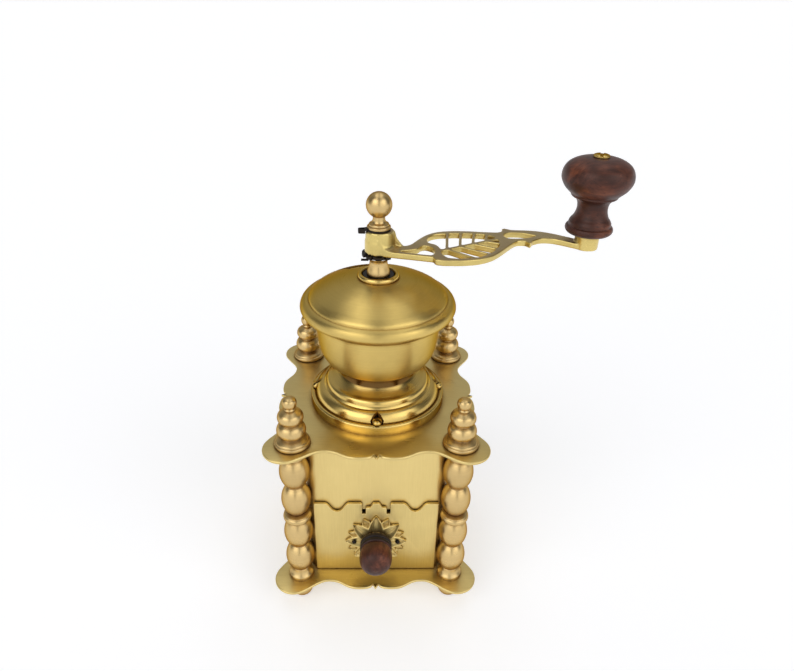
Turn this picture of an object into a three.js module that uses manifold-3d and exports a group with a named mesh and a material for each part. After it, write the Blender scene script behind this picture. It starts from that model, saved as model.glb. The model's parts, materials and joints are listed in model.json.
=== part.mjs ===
// Manual coffee grinder in brass. A square case stands between two scalloped plates and four turned
// columns. A round hopper with a sliding hatch sits on top, and a pierced crank arm with a wooden
// knob turns a conical burr above a drawer for the ground coffee.
// Millimetres, +Z up, the drawer faces -Y, the crank points to +X.
import * as THREE from 'three';
import { mergeVertices } from 'three/addons/utils/BufferGeometryUtils.js';
import Module from 'manifold-3d';

const wasm = await Module();
wasm.setup();

// Clearances
const fitGap = 0.3;
const slideGap = 0.8;

// Plates
const plateThickness = 2;
const plateReach = 67.2;
const lobeRadius = 13.2;
const lobeWrap = 25;
const valleyReach = 57;
const valleyPlace = 31.3;
const bulgeReach = 63.2;
const bulgePlace = 11;
const notchReach = 59.8;
const notchPlace = 2.5;
const nibTip = 0.3;

// Case
const caseHeight = 109;
const caseHalf = 45.5;
const caseCorner = 8;
const caseWall = 1.2;

// Columns, finials, feet and the rods through them
const beadRadius = 9.25;
const columnGap = 0.43;
const columnNeck = 5.3;
const collarRadius = 9;
const collarHeight = 6.2;
const footRingRadius = 8;
const footRingHeight = 5;
const capHeight = 10.5;
const finialRadius = 10.8;
const finialHeight = 32.5;
const footHeight = 15.5;
const footRadius = 7.5;
const rodRadius = 2.5;
const rodInFoot = 11.5;
const rodInFinial = 12;

// Hopper
const flangeInset = 2.4;
const flangeHeight = 25.5;
const flangeRimWidth = 5.7;
const neckRadius = 24.2;
const neckWall = 1.5;
const bowlRadius = 38.6;
const bowlHeight = 33.5;
const bowlWall = 1.5;
const rimRadius = 47.3;
const rimHeight = 13.7;
const rimMouth = 41.4;

// Lid, with the hatch that turns under it
const domeRadius = 42.4;
const domeRise = 12.8;
const domeWall = 1.2;
const spigotDepth = 3.7;
const spigotWall = 1.5;
const hatchThickness = 0.9;
const hatchGap = 0.35;
const hatchOuter = 37.4;
const hatchOverlap = 3;
const hatchMiddle = 111;
const openingOuter = 35.5;
const openingInner = 19;
const openingAngle = 56;
const hatchRingWidth = 5;
const hatchKnobRadius = 3;
const hatchKnobHeight = 8;
const hatchKnobTail = 5;
const hatchKnobPlace = 27.5;
const hatchKnobAngle = 7;

// Bushes and bearings around the spindle
const spindleRadius = 4;
const sleeveRadius = 6.2;
const sleeveRise = 12.2;
const sleeveDepth = 10;
const sleeveBell = 7.5;
const bushTube = 7.6;
const bushFlange = 9.5;
const bushFlangeThickness = 2;
const bushDepth = 5;
const ringThickness = 1.2;
const ringWidth = 4;
const collarRing = 13.3;
const collarRise = 2.9;
const pinRadius = 0.75;
const pinReach = 10.3;

// Burrs and the bridge that carries the lower bearing
const burrHeight = 18;
const burrTop = 9;
const burrBottom = 19;
const burrTeeth = 12;
const toothDepth = 1.3;
const toothTwist = 60;
const burrLift = 1;
const grindGap = 0.4;
const burrRingRadius = 25;
const burrRingHeight = 24.5;
const burrFlangeThickness = 3;
const throatRadius = 21.7;
const throatDepth = 15;
const bridgeDrop = 35;
const bridgeThickness = 2.5;
const bridgeWidth = 12;
const bridgeClearance = 1;
const bridgeBoss = 7.5;
const bridgeBossHeight = 8;

// Spindle, nut and washers
const spindleCollar = 7;
const spindleCollarHeight = 2.1;
const springSeat = 5.6;
const springSeatHeight = 2;
const springSeatDrop = 20;
const springWire = 0.6;
const springTurns = 5;
const springSteps = 8;
const stubRadius = 2.5;
const stubLength = 8;
const washerThickness = 0.7;
const tabThickness = 1.1;
const thrustRadius = 5.8;
const nutRadius = 9.9;
const nutBoss = 6.2;
const nutBossHeight = 0.9;
const nutPlate = 1.9;
const nutNotches = 10;
const nutNotchDepth = 1.6;
const tabRadius = 7.6;
const tabReach = 12;
const tabWidth = 5;

// Crank
const crankRadius = 125;
const crankAngle = 5;
const armThickness = 3.6;
const hubRadius = 8.2;
const hubTopRadius = 7.5;
const hubHeight = 13.3;
const hubFillet = 4.5;
const bossRadius = 7.1;
const bossHeight = 7.4;
const veinWidth = 1.7;
const veinCount = 4;
const midribWidth = 2.4;
const ballRadius = 7.3;
const ballNutHeight = 21.1;
const ballNeck = 3.5;

// Crank knob
const knobRadius = 21;
const knobHeight = 46.2;
const knobGap = 0.4;
const knobScrewHead = 4.6;
const knobScrewHeadHeight = 1.7;

// Drawer
const drawerFrontThickness = 2;
const drawerLobeHeight = 59.8;
const drawerValleyHeight = 52.9;
const drawerNotchHeight = 51;
const drawerStepHeight = 56.2;
const drawerCornerFlat = 6.3;
const drawerValleyPlace = 25.1;
const drawerLobePlace = 16.8;
const drawerLobeRound = 1.3;
const drawerNotchPlace = 7.9;
const drawerNotchWidth = 2.4;
const drawerStepPlace = 3.7;
const drawerMiddleHalf = 2.2;
const drawerHeight = 50.4;
const drawerRest = 5;
const drawerWall = 1.2;
const openingRise = 53.4;
const openingRim = 0.5;
const guideWidth = 3;
const guideHeight = 6;
const knobLine = 28.2;
const rosetteRadius = 19.6;
const rosetteCrown = 0.15;
const rosetteThickness = 2.4;
const rosetteLeaves = 16;
const nailPlace = 14.2;
const nailRadius = 0.8;
const nailHead = 1.5;
const drawerKnobRadius = 10.5;
const drawerKnobReach = 25.2;

// Screws
const screwRadius = 1.5;
const screwHead = 2.7;
const screwHeadHeight = 2.2;
const screwInset = 2.4;
const screwSpacing = 5.2;
const screwSeat = 5.6;
const slotWidth = 0.8;
const slotDepth = 0.9;

// Fineness of the round pieces
const screwSides = 8;
const smallSides = 10;
const middleSides = 12;
const largeSides = 22;

// Levels, places and widths that follow from the sizes
const floorTop = footHeight + plateThickness;
const shoulder = floorTop + caseHeight;
const deck = shoulder + plateThickness;
const bowlFoot = deck + flangeHeight;
const rimFoot = bowlFoot + bowlHeight;
const rimTop = rimFoot + rimHeight;
const domeTop = rimTop + domeRise;
const sleeveTop = domeTop + sleeveRise;
const nutFoot = sleeveTop + washerThickness;
const nutTop = nutFoot + nutBossHeight + nutPlate;
const hubFoot = nutTop + fitGap;
const hubTop = hubFoot + hubHeight;
const ballFoot = hubTop + tabThickness;
const bossTop = hubFoot + bossHeight;
const knobFoot = bossTop + knobGap;
const knobTop = knobFoot + knobHeight;
const burrFoot = shoulder - burrRingHeight - 2 * burrLift;
const rodBore = rodRadius + fitGap;
const spindleBore = spindleRadius + fitGap;
const screwBore = screwRadius + fitGap;
const columnPlace = caseHalf - caseCorner * (1 - Math.SQRT1_2) + (beadRadius + columnGap) * Math.SQRT1_2;
const flangeRadius = caseHalf - flangeInset;
const burrFlangeRadius = caseHalf - caseWall - slideGap;
const screwCircle = flangeRadius - screwInset;
const bridgeScrewPlace = screwCircle - screwSpacing;
const bridgeHalf = bridgeScrewPlace - bridgeThickness - fitGap - screwHead;
const bridgeBarHalf = burrRingRadius + bridgeClearance;
const drawerFrontHalf = columnPlace - beadRadius - slideGap;
const openingHalf = caseHalf - caseCorner - openingRim;
const drawerHalf = openingHalf - slideGap;
const drawerDepth = 2 * caseHalf - drawerRest;
const faceOfCase = -caseHalf;
const backOfFront = faceOfCase - fitGap;
const faceOfFront = backOfFront - drawerFrontThickness;
const knobLevel = floorTop + knobLine;

// Materials
function finish(color, metalness, roughness) {
  return new THREE.MeshStandardMaterial({ color, metalness, roughness });
}
const brushedBrass = finish(0xcfb56a, 1, 0.38);
const turnedBrass = finish(0xc79a55, 1, 0.3);
const polishedBrass = finish(0xdcc06a, 1, 0.18);
const castBrass = finish(0xb8985c, 1, 0.42);
const steel = finish(0x9a9a98, 1, 0.35);
const blackSteel = finish(0x24201e, 0.8, 0.45);
const castIron = finish(0x4a4a4c, 0.9, 0.6);
const wood = finish(0x43221a, 0, 0.4);

// A turned piece: a profile of [radius, height] points around the Z axis, closed on itself
function turned(profile, sides) {
  const line = profile.map(([radius, height]) => new THREE.Vector2(radius, height));
  if (THREE.ShapeUtils.area(line) < 0) {
    line.reverse();
  }
  line.push(line[0].clone());
  return new THREE.LatheGeometry(line, sides).rotateX(Math.PI / 2);
}

// Points between two corners of a moulding, given as shares of the way across and up
function moulding([fromRadius, fromHeight], [toRadius, toHeight], shares) {
  return shares.map(([across, up]) => [
    THREE.MathUtils.lerp(fromRadius, toRadius, across),
    THREE.MathUtils.lerp(fromHeight, toHeight, up),
  ]);
}

// A tube between two heights
function tube(inner, outer, low, high, sides) {
  return turned([[inner, low], [outer, low], [outer, high], [inner, high]], sides);
}

function rod(radius, low, high, sides) {
  return turned([[0, low], [radius, low], [radius, high], [0, high]], sides);
}

function block(width, depth, height, x, y, z) {
  return new THREE.BoxGeometry(width, depth, height).translate(x, y, z);
}

function plate(shape, low, thickness, curveSegments = 4) {
  const options = { depth: thickness, bevelEnabled: false, curveSegments };
  return new THREE.ExtrudeGeometry(shape, options).translate(0, 0, low);
}

// A shape drawn in X and Z, standing with its back at y and its thickness towards -Y
function upright(shape, y, thickness, curveSegments = 4) {
  const options = { depth: thickness, bevelEnabled: false, curveSegments };
  return new THREE.ExtrudeGeometry(shape, options).rotateX(Math.PI / 2).translate(0, y, 0);
}

// Joining and cutting
function solid(geometry) {
  const bare = geometry.clone();
  bare.deleteAttribute('normal');
  bare.deleteAttribute('uv');
  const merged = mergeVertices(bare);
  const corners = merged.index.array;
  const triangles = [];
  for (let i = 0; i < corners.length; i += 3) {
    const [a, b, c] = [corners[i], corners[i + 1], corners[i + 2]];
    if (a !== b && b !== c && c !== a) {
      triangles.push(a, b, c);
    }
  }
  const vertProperties = new Float32Array(merged.attributes.position.array);
  const triVerts = new Uint32Array(triangles);
  return new wasm.Manifold(new wasm.Mesh({ numProp: 3, vertProperties, triVerts }));
}

function geometryOf(body) {
  const mesh = body.getMesh();
  const geometry = new THREE.BufferGeometry();
  const places = new Float32Array(mesh.vertProperties);
  geometry.setAttribute('position', new THREE.BufferAttribute(places, 3));
  geometry.setIndex(new THREE.BufferAttribute(new Uint32Array(mesh.triVerts), 1));
  geometry.computeVertexNormals();
  return geometry;
}

function carved(base, cutters) {
  return geometryOf(cutters.reduce((body, cutter) => body.subtract(solid(cutter)), solid(base)));
}

function joined(pieces, cutters = []) {
  const whole = pieces.map(solid).reduce((body, next) => body.add(next));
  return geometryOf(cutters.reduce((body, cutter) => body.subtract(solid(cutter)), whole));
}

function add(group, name, geometry, material, x = 0, y = 0, z = 0) {
  const mesh = new THREE.Mesh(geometry, material);
  mesh.name = name;
  mesh.position.set(x, y, z);
  group.add(mesh);
  return mesh;
}

const radians = THREE.MathUtils.degToRad;
const corners = [
  ['front_left', -1, -1],
  ['front_right', 1, -1],
  ['back_left', -1, 1],
  ['back_right', 1, 1],
];
const quarters = [0, 1, 2, 3];

// Plates: four lobed corners, and on each side a valley, a bulge and a small nib in the middle
function plateOutline() {
  const shape = new THREE.Shape();
  const lobe = plateReach - lobeRadius;
  const wrap = radians(lobeWrap);
  const lobeEnd = lobe - lobeRadius * Math.sin(wrap);
  const lobeEndReach = lobe + lobeRadius * Math.cos(wrap);
  const lean = lobeRadius * 0.45;
  const sweep = (valleyPlace - bulgePlace) / 2;
  const toValley = [
    [lobeEnd, lobeEndReach],
    [lobeEnd - lean * Math.cos(wrap), lobeEndReach - lean * Math.sin(wrap)],
    [valleyPlace + lean, valleyReach],
    [valleyPlace, valleyReach],
  ];
  const toBulge = [
    [valleyPlace, valleyReach],
    [valleyPlace - sweep, valleyReach],
    [bulgePlace + sweep, bulgeReach],
    [bulgePlace, bulgeReach],
  ];
  const rampReach = THREE.MathUtils.lerp(notchReach, bulgeReach, 0.7);
  const nib = [[notchPlace * 2.4, rampReach], [notchPlace, notchReach], [nibTip, bulgeReach]];
  const mirrored = (points) => points.map(([along, out]) => [-along, out]);
  for (const quarter of quarters) {
    const angle = quarter * Math.PI / 2;
    const at = ([along, out]) => [
      along * Math.cos(angle) + out * Math.sin(angle),
      along * Math.sin(angle) - out * Math.cos(angle),
    ];
    const curve = (points) => shape.bezierCurveTo(...points.slice(1).flatMap(at));
    const line = (points) => points.forEach((point) => shape.lineTo(...at(point)));
    if (quarter === 0) {
      shape.moveTo(-lobeEnd, -lobeEndReach);
    }
    curve(mirrored(toValley));
    curve(mirrored(toBulge));
    line(mirrored(nib));
    line([...nib].reverse());
    line([toBulge[3]]);
    curve([...toBulge].reverse());
    curve([...toValley].reverse());
    const [x, y] = at([lobe, lobe]);
    shape.absarc(x, y, lobeRadius, angle - Math.PI / 2 - wrap, angle + wrap, false);
  }
  return shape;
}

function addHole(shape, x, y, radius, sides = screwSides) {
  const points = [];
  for (let i = 0; i < sides; i += 1) {
    const angle = 2 * Math.PI * i / sides;
    points.push(new THREE.Vector2(x + radius * Math.cos(angle), y + radius * Math.sin(angle)));
  }
  shape.holes.push(new THREE.Path().setFromPoints(points));
}

function cornerPlate(low, extraHoles) {
  const outline = plateOutline();
  for (const [, x, y] of corners) {
    addHole(outline, x * columnPlace, y * columnPlace, rodBore);
  }
  for (const hole of extraHoles) {
    addHole(outline, ...hole);
  }
  return plate(outline, low, plateThickness, 3);
}

// Case: a square tube with round corners, open at the front for the drawer
function roundedSquare(half, corner) {
  const shape = new THREE.Shape();
  const flat = half - corner;
  shape.moveTo(-flat, -half);
  for (const quarter of quarters) {
    const angle = quarter * Math.PI / 2;
    const middle = new THREE.Vector2(flat, -flat).rotateAround(new THREE.Vector2(), angle);
    shape.absarc(middle.x, middle.y, corner, angle - Math.PI / 2, angle, false);
  }
  return shape;
}

function caseShell() {
  const outline = roundedSquare(caseHalf, caseCorner);
  outline.holes.push(roundedSquare(caseHalf - caseWall, caseCorner - caseWall));
  const cut = block(2 * openingHalf, 4 * caseWall, 2 * openingRise, 0, faceOfCase, floorTop);
  return carved(plate(outline, floorTop, caseHeight), [cut]);
}

// Columns: two beads below and two above a flat collar, between a foot ring and a cap
const beadShares = [[0.66, 0.16], [1, 0.5], [0.66, 0.84], [0, 1]];
const footRingShares = [[1, 0], [0.9, 0.35], [0, 1]];
const collarShares = [[0.85, 0.1], [1, 0.45], [0.85, 0.85], [0, 1]];
const capShares = [[0.7, 0.2], [0.2, 0.5], [1, 0.8], [1, 1]];
function beads(low, high, count) {
  const step = (high - low) / count;
  const points = [];
  for (let i = 0; i < count; i += 1) {
    const foot = low + i * step;
    points.push(...moulding([columnNeck, foot], [beadRadius, foot + step], beadShares));
  }
  return points;
}

function column() {
  const beadSpan = (caseHeight - footRingHeight - capHeight - collarHeight) / 2;
  const lowBeads = floorTop + footRingHeight;
  const collarFoot = lowBeads + beadSpan;
  const highBeads = collarFoot + collarHeight;
  const cap = shoulder - capHeight;
  const profile = [
    [rodBore, floorTop],
    ...moulding([columnNeck, floorTop], [footRingRadius, lowBeads], footRingShares),
    ...beads(lowBeads, collarFoot, 2),
    ...moulding([columnNeck, collarFoot], [collarRadius, highBeads], collarShares),
    ...beads(highBeads, cap, 2),
    ...moulding([columnNeck, cap], [footRingRadius, shoulder], capShares),
    [rodBore, shoulder],
  ];
  return turned(profile, smallSides);
}

const finialShares = [
  [1, 0], [0.97, 0.06], [0.5, 0.18], [0.73, 0.24], [0.8, 0.33], [0.5, 0.48],
  [0.66, 0.55], [0.7, 0.64], [0.28, 0.76], [0.37, 0.85], [0.37, 0.93], [0, 1],
];
function finial() {
  const profile = [
    [rodBore, deck],
    ...moulding([0, deck], [finialRadius, deck + finialHeight], finialShares),
    [0, deck + rodInFinial + fitGap],
    [rodBore, deck + rodInFinial + fitGap],
  ];
  return turned(profile, smallSides);
}

const footShares = [[0.47, 0], [0.83, 0.12], [1, 0.33], [0.97, 0.55], [0.62, 0.84], [0.85, 1]];
function foot() {
  const boreFoot = footHeight - rodInFoot - fitGap;
  const profile = [
    [0, 0],
    ...moulding([0, 0], [footRadius, footHeight], footShares),
    [rodBore, footHeight],
    [rodBore, boreFoot],
    [0, boreFoot],
  ];
  return turned(profile, smallSides);
}

// Screws with a slotted head
function screw(radius, head, headHeight, length) {
  const body = turned([
    [0, -length], [radius, -length], [radius, 0], [head, 0],
    [head, headHeight * 0.45], [head * 0.75, headHeight * 0.85], [0, headHeight],
  ], screwSides);
  return carved(body, [block(3 * head, slotWidth, 2 * slotDepth, 0, 0, headHeight)]);
}

// Hopper foot: a moulded ring, solid at its rim for the four screws
const flangeShares = [
  [0, 0], [0, 0.25], [0.18, 0.25], [0.3, 0.443], [0.455, 0.514], [0.524, 0.506],
  [0.566, 0.624], [0.66, 0.69], [0.85, 0.73], [1, 0.85], [1, 1],
];
const flangeInnerShares = [[0, 1], [0, 0.76], [0.8, 0.5], [1, 0]];
function hopperFlange() {
  const rimInner = flangeRadius - flangeRimWidth;
  const profile = [
    ...moulding([flangeRadius, deck], [neckRadius, bowlFoot], flangeShares),
    ...moulding([neckRadius - neckWall, deck], [rimInner, bowlFoot], flangeInnerShares),
  ];
  const cutters = quarters.flatMap((quarter) => {
    const angle = quarter * Math.PI / 2;
    const [x, y] = [screwCircle * Math.cos(angle), screwCircle * Math.sin(angle)];
    const seat = deck + screwSeat;
    return [
      rod(screwBore, deck - 1, seat + 1, screwSides).translate(x, y, 0),
      rod(screwHead + 2 * fitGap, seat, bowlFoot, screwSides).translate(x, y, 0),
    ];
  });
  return carved(turned(profile, largeSides), cutters);
}

const bowlShares = [[0.09, 0], [0.4, 0.078], [0.646, 0.197], [0.82, 0.382], [0.93, 0.64], [1, 1]];
const rimShares = [[0.276, 0.073], [0.736, 0.182], [1, 0.438], [1, 0.72], [0.72, 1]];
const bowlInnerShares = [[1, 0.98], [0.93, 0.7], [0.8, 0.38], [0.5, 0.16], [0, 0]];
function hopperBowl() {
  const profile = [
    ...moulding([neckRadius, bowlFoot], [bowlRadius, rimFoot], bowlShares),
    ...moulding([bowlRadius, rimFoot], [rimRadius, rimTop], rimShares),
    [rimMouth, rimTop],
    [rimMouth, rimFoot + rimHeight * 0.3],
    ...moulding([neckRadius - neckWall, bowlFoot], [bowlRadius - bowlWall, rimFoot], bowlInnerShares),
  ];
  return turned(profile, largeSides);
}

// Lid: the height of the dome above its rim at a share of its radius
const domeShares = [[1, 0], [0.975, 0.15], [0.86, 0.44], [0.68, 0.72], [0.5, 0.9], [0.33, 1]];
function domeHeight(radius) {
  const share = radius / domeRadius;
  const next = domeShares.findIndex(([across]) => across <= share);
  if (next === -1) {
    return domeTop;
  }
  const [a, b] = [domeShares[Math.max(next - 1, 0)], domeShares[next]];
  const t = a === b ? 0 : (a[0] - share) / (a[0] - b[0]);
  return rimTop + domeRise * THREE.MathUtils.lerp(a[1], b[1], t);
}

function domeLayer(inner, outer, drop, thickness) {
  const steps = domeShares.map(([across]) => across * domeRadius);
  const between = steps.filter((radius) => radius > inner + 1 && radius < outer - 1);
  const radii = [outer, ...between, inner];
  return [
    ...radii.map((r) => [r, domeHeight(r) - drop]),
    ...[...radii].reverse().map((r) => [r, domeHeight(r) - drop - thickness]),
  ];
}

// A sector of a disc, from above, as a tall cutter
function sector(inner, outer, middle, angle) {
  const shape = new THREE.Shape();
  const [from, to] = [radians(middle - angle / 2), radians(middle + angle / 2)];
  shape.moveTo(inner * Math.cos(from), inner * Math.sin(from));
  shape.absarc(0, 0, outer, from, to, false);
  shape.absarc(0, 0, inner, to, from, true);
  return plate(shape, rimTop - domeRise, 3 * domeRise, 6);
}

function lidDome() {
  const spigotOuter = rimMouth - fitGap;
  const spigotInner = spigotOuter - spigotWall;
  const crown = domeShares.map(([across, up]) => [across * domeRadius, rimTop + up * domeRise]);
  const under = crown.slice(2).reverse().map(([radius, height]) => [radius, height - domeWall]);
  const profile = [
    ...crown,
    [bushTube + fitGap, domeTop],
    [bushTube + fitGap, domeTop - domeWall],
    ...under,
    [spigotInner, domeHeight(spigotInner) - domeWall],
    [spigotInner, rimTop - spigotDepth],
    [spigotOuter, rimTop - spigotDepth],
    [spigotOuter, rimTop],
  ];
  const opening = sector(openingInner, openingOuter, hatchMiddle, openingAngle);
  return carved(turned(profile, largeSides), [opening]);
}

const hatchAngle = openingAngle + 2 * hatchOverlap;
const hatchKnobTurn = radians(hatchMiddle - openingAngle / 2 + hatchKnobAngle);
function hatch() {
  const bore = bushTube + fitGap;
  const layer = solid(turned(domeLayer(bore, hatchOuter, domeWall + hatchGap, hatchThickness), largeSides));
  const fan = sector(bore + 1, hatchOuter + 1, hatchMiddle, hatchAngle);
  const ring = tube(0.5, bore + hatchRingWidth, rimTop - domeRise, domeTop + domeRise, largeSides);
  const kept = layer.intersect(solid(fan).add(solid(ring)));
  const hole = rod(screwBore, rimTop, domeTop, screwSides).translate(hatchKnobPlace, 0, 0);
  return geometryOf(kept.subtract(solid(hole.rotateZ(hatchKnobTurn))));
}

function hatchKnob() {
  const seat = domeHeight(hatchKnobPlace - hatchKnobRadius) - domeWall + fitGap;
  const base = seat - hatchKnobTail;
  return turned([
    [0, base], [screwRadius, base], [screwRadius, seat], [hatchKnobRadius * 0.6, seat],
    ...moulding([0, seat], [hatchKnobRadius, seat + hatchKnobHeight], [
      [0.5, 0.4], [0.9, 0.55], [1, 0.75], [0.75, 0.95], [0, 1],
    ]),
  ], smallSides);
}

// Bushes around the spindle at the lid
const bellShares = [[1, 0], [0.84, 0.22], [0.42, 0.58], [0.28, 0.84], [0.34, 1]];
function bearingSleeve() {
  const bell = domeTop + bushFlangeThickness + fitGap;
  return turned([
    [spindleBore, domeTop - sleeveDepth],
    [sleeveRadius, domeTop - sleeveDepth],
    [sleeveRadius, bell],
    ...moulding([spindleBore, bell], [sleeveBell, sleeveTop], bellShares),
    [spindleBore, sleeveTop],
  ], middleSides);
}

function domeBush() {
  const bore = sleeveRadius + fitGap;
  return turned([
    [bore, domeTop - bushDepth], [bushTube, domeTop - bushDepth], [bushTube, domeTop],
    [bushFlange, domeTop], [bushFlange, domeTop + bushFlangeThickness],
    [bore, domeTop + bushFlangeThickness],
  ], middleSides);
}

function retainingRing() {
  const high = domeTop - domeWall - hatchGap - hatchThickness - fitGap;
  return tube(bushTube + fitGap, bushTube + fitGap + ringWidth, high - ringThickness, high, middleSides);
}

function lidCollar() {
  const inner = bushFlange + fitGap;
  return turned([
    [inner, domeTop],
    ...moulding([inner, domeTop], [collarRing, domeTop + collarRise], [
      [0.92, 0], [1, 0.45], [0.75, 0.9], [0.4, 1], [0, 0.75],
    ]),
  ], largeSides);
}

// Burrs: cones whose faces ripple into slanted teeth, inwards on the cone and outwards on its ring
function toothedCone(top, bottom, low, high, depth) {
  const perTooth = 3;
  const cone = new THREE.CylinderGeometry(top, bottom, high - low, burrTeeth * perTooth, 2);
  const place = cone.attributes.position;
  for (let i = 0; i < place.count; i += 1) {
    const [x, y, z] = [place.getX(i), place.getY(i), place.getZ(i)];
    const radius = Math.hypot(x, z);
    if (radius > 1e-6) {
      const angle = Math.round(Math.atan2(z, x) * 1e6) / 1e6;
      const twist = radians(toothTwist) * (y / (high - low));
      const ripple = 0.5 - 0.5 * Math.cos(burrTeeth * (angle + twist));
      const scale = (radius + depth * ripple) / radius;
      place.setXYZ(i, x * scale, y, z * scale);
    }
  }
  return cone.rotateX(Math.PI / 2).translate(0, 0, (low + high) / 2);
}

function innerBurr() {
  const cone = toothedCone(burrTop, burrBottom, burrFoot, burrFoot + burrHeight, -toothDepth);
  return carved(cone, [rod(spindleBore, burrFoot - 1, burrFoot + burrHeight + 1, middleSides)]);
}

function outerBurr() {
  const slope = (burrBottom - burrTop) / burrHeight;
  const ringFoot = shoulder - burrRingHeight;
  const flangeFoot = shoulder - burrFlangeThickness;
  const mouthFoot = shoulder - throatDepth;
  const spread = grindGap + slope * burrLift;
  const boreAt = (z) => burrBottom - slope * (z - burrFoot) + spread;
  const body = turned([
    [0, ringFoot], [burrRingRadius, ringFoot], [burrRingRadius, flangeFoot],
    [burrFlangeRadius, flangeFoot], [burrFlangeRadius, shoulder], [0, shoulder],
  ], largeSides);
  const boreTop = mouthFoot + 2;
  const bore = toothedCone(boreAt(boreTop), boreAt(ringFoot - 1), ringFoot - 1, boreTop, toothDepth);
  const mouth = turned([
    [0, mouthFoot], [boreAt(mouthFoot) + toothDepth, mouthFoot],
    [throatRadius, shoulder], [throatRadius, shoulder + 1], [0, shoulder + 1],
  ], middleSides);
  const screwHoles = quarters.map((quarter) => {
    const angle = quarter * Math.PI / 2;
    return rod(screwBore, flangeFoot - 1, shoulder + 1, screwSides)
      .translate(screwCircle * Math.cos(angle), screwCircle * Math.sin(angle), 0);
  });
  const bridgeHoles = [-1, 1].map((side) =>
    rod(screwBore, flangeFoot - 1, shoulder + 1, screwSides).translate(side * bridgeScrewPlace, 0, 0));
  return carved(body, [bore, mouth, ...screwHoles, ...bridgeHoles]);
}

// Lower bearing: a strap that hangs below the burr ring, with a boss for the end of the spindle
const bridgeFootEnd = bridgeScrewPlace + screwHead;
const bridgeHigh = shoulder - burrFlangeThickness;
const bridgeLow = bridgeHigh - bridgeDrop;
const bossFoot = bridgeLow - bridgeBossHeight / 4;
function lowerBridge() {
  const [high, low, knee] = [bridgeHigh, bridgeLow, bridgeThickness];
  const rightHalf = [
    [bridgeBarHalf + knee, low], [bridgeHalf + knee, high - knee], [bridgeFootEnd, high - knee],
    [bridgeFootEnd, high], [bridgeHalf, high], [bridgeBarHalf, low + knee],
  ];
  const leftHalf = rightHalf.map(([x, z]) => [-x, z]).reverse();
  const shape = new THREE.Shape([...rightHalf, ...leftHalf].map(([x, z]) => new THREE.Vector2(x, z)));
  const strap = upright(shape, bridgeWidth / 2, bridgeWidth);
  const boss = rod(bridgeBoss, bossFoot, bossFoot + bridgeBossHeight, middleSides);
  const bore = rod(spindleBore, bossFoot - 1, bossFoot + bridgeBossHeight + 1, middleSides);
  const holes = [-1, 1].map((side) =>
    rod(screwBore, high - 2 * knee, high + 1, screwSides).translate(side * bridgeScrewPlace, 0, 0));
  return joined([strap, boss], [bore, ...holes]);
}

// Spindle: its lower end runs in the bridge, a collar carries the burr, a second one the spring
const springFoot = domeTop - sleeveDepth - springSeatDrop;
function spindle() {
  const collarTop = burrFoot - fitGap;
  const collarLow = collarTop - spindleCollarHeight;
  const seatLow = springFoot - springSeatHeight;
  const shaftTop = hubTop - fitGap;
  return turned([
    [0, bossFoot],
    [spindleRadius, bossFoot],
    [spindleRadius, collarLow],
    [spindleCollar, collarLow],
    [spindleCollar, collarTop],
    [spindleRadius, collarTop],
    [spindleRadius, seatLow],
    [springSeat, seatLow],
    [springSeat, springFoot],
    [spindleRadius, springFoot],
    [spindleRadius, shaftTop],
    [stubRadius, shaftTop],
    [stubRadius, hubTop + stubLength],
    [0, hubTop + stubLength],
  ], smallSides);
}

// A helix of wire around the spindle, between the seat and the sleeve
class Helix extends THREE.Curve {
  constructor(radius, low, high, turns) {
    super();
    Object.assign(this, { radius, low, high, turns });
  }

  getPoint(t, target = new THREE.Vector3()) {
    const angle = 2 * Math.PI * this.turns * t;
    const height = THREE.MathUtils.lerp(this.low, this.high, t);
    return target.set(this.radius * Math.cos(angle), this.radius * Math.sin(angle), height);
  }
}

function spring() {
  const section = [[springWire, 0], [0, springWire], [-springWire, 0], [0, -springWire]];
  const wire = new THREE.Shape(section.map(([x, y]) => new THREE.Vector2(x, y)));
  const rise = springWire + fitGap;
  const top = domeTop - sleeveDepth - rise;
  const path = new Helix(spindleRadius + rise, springFoot + rise, top, springTurns);
  return new THREE.ExtrudeGeometry(wire, { steps: springTurns * springSteps, extrudePath: path });
}

function adjustingNut() {
  const shape = new THREE.Shape();
  const step = 2 * Math.PI / nutNotches;
  const points = [];
  const root = nutRadius - nutNotchDepth;
  const tooth = [[0, nutRadius], [0.35, nutRadius], [0.65, nutRadius], [0.72, root], [0.93, root]];
  for (let i = 0; i < nutNotches; i += 1) {
    for (const [share, radius] of tooth) {
      points.push(new THREE.Vector2(radius).rotateAround(new THREE.Vector2(), (i + share) * step));
    }
  }
  shape.setFromPoints(points);
  const disc = plate(shape, nutTop - nutPlate, nutPlate);
  const boss = rod(nutBoss, nutFoot, nutTop - nutPlate / 2, middleSides);
  return joined([disc, boss], [rod(spindleBore, nutFoot - 1, nutTop + 1, middleSides)]);
}

function tabWasher() {
  const shape = new THREE.Shape();
  const lean = Math.asin(tabWidth / 2 / tabRadius);
  shape.absarc(0, 0, tabRadius, -Math.PI + lean, Math.PI - lean, false);
  shape.lineTo(-tabRadius - (tabReach - tabRadius) * 0.3, tabWidth * 0.35);
  shape.lineTo(-tabReach, 0);
  addHole(shape, 0, 0, stubRadius + fitGap);
  return plate(shape, hubTop, tabThickness, 8);
}

// Crank: an S-shaped leaf in outline, pierced, cast in one with its hub and its boss.
// Its plan is drawn in 125ths of the crank's radius.
const planUnit = crankRadius / 125;
function smooth(path, points) {
  path.splineThru(points.map(([x, y]) => new THREE.Vector2(x, y).multiplyScalar(planUnit)));
}

function straight(path, x, y) {
  path.lineTo(x * planUnit, y * planUnit);
}

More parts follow.
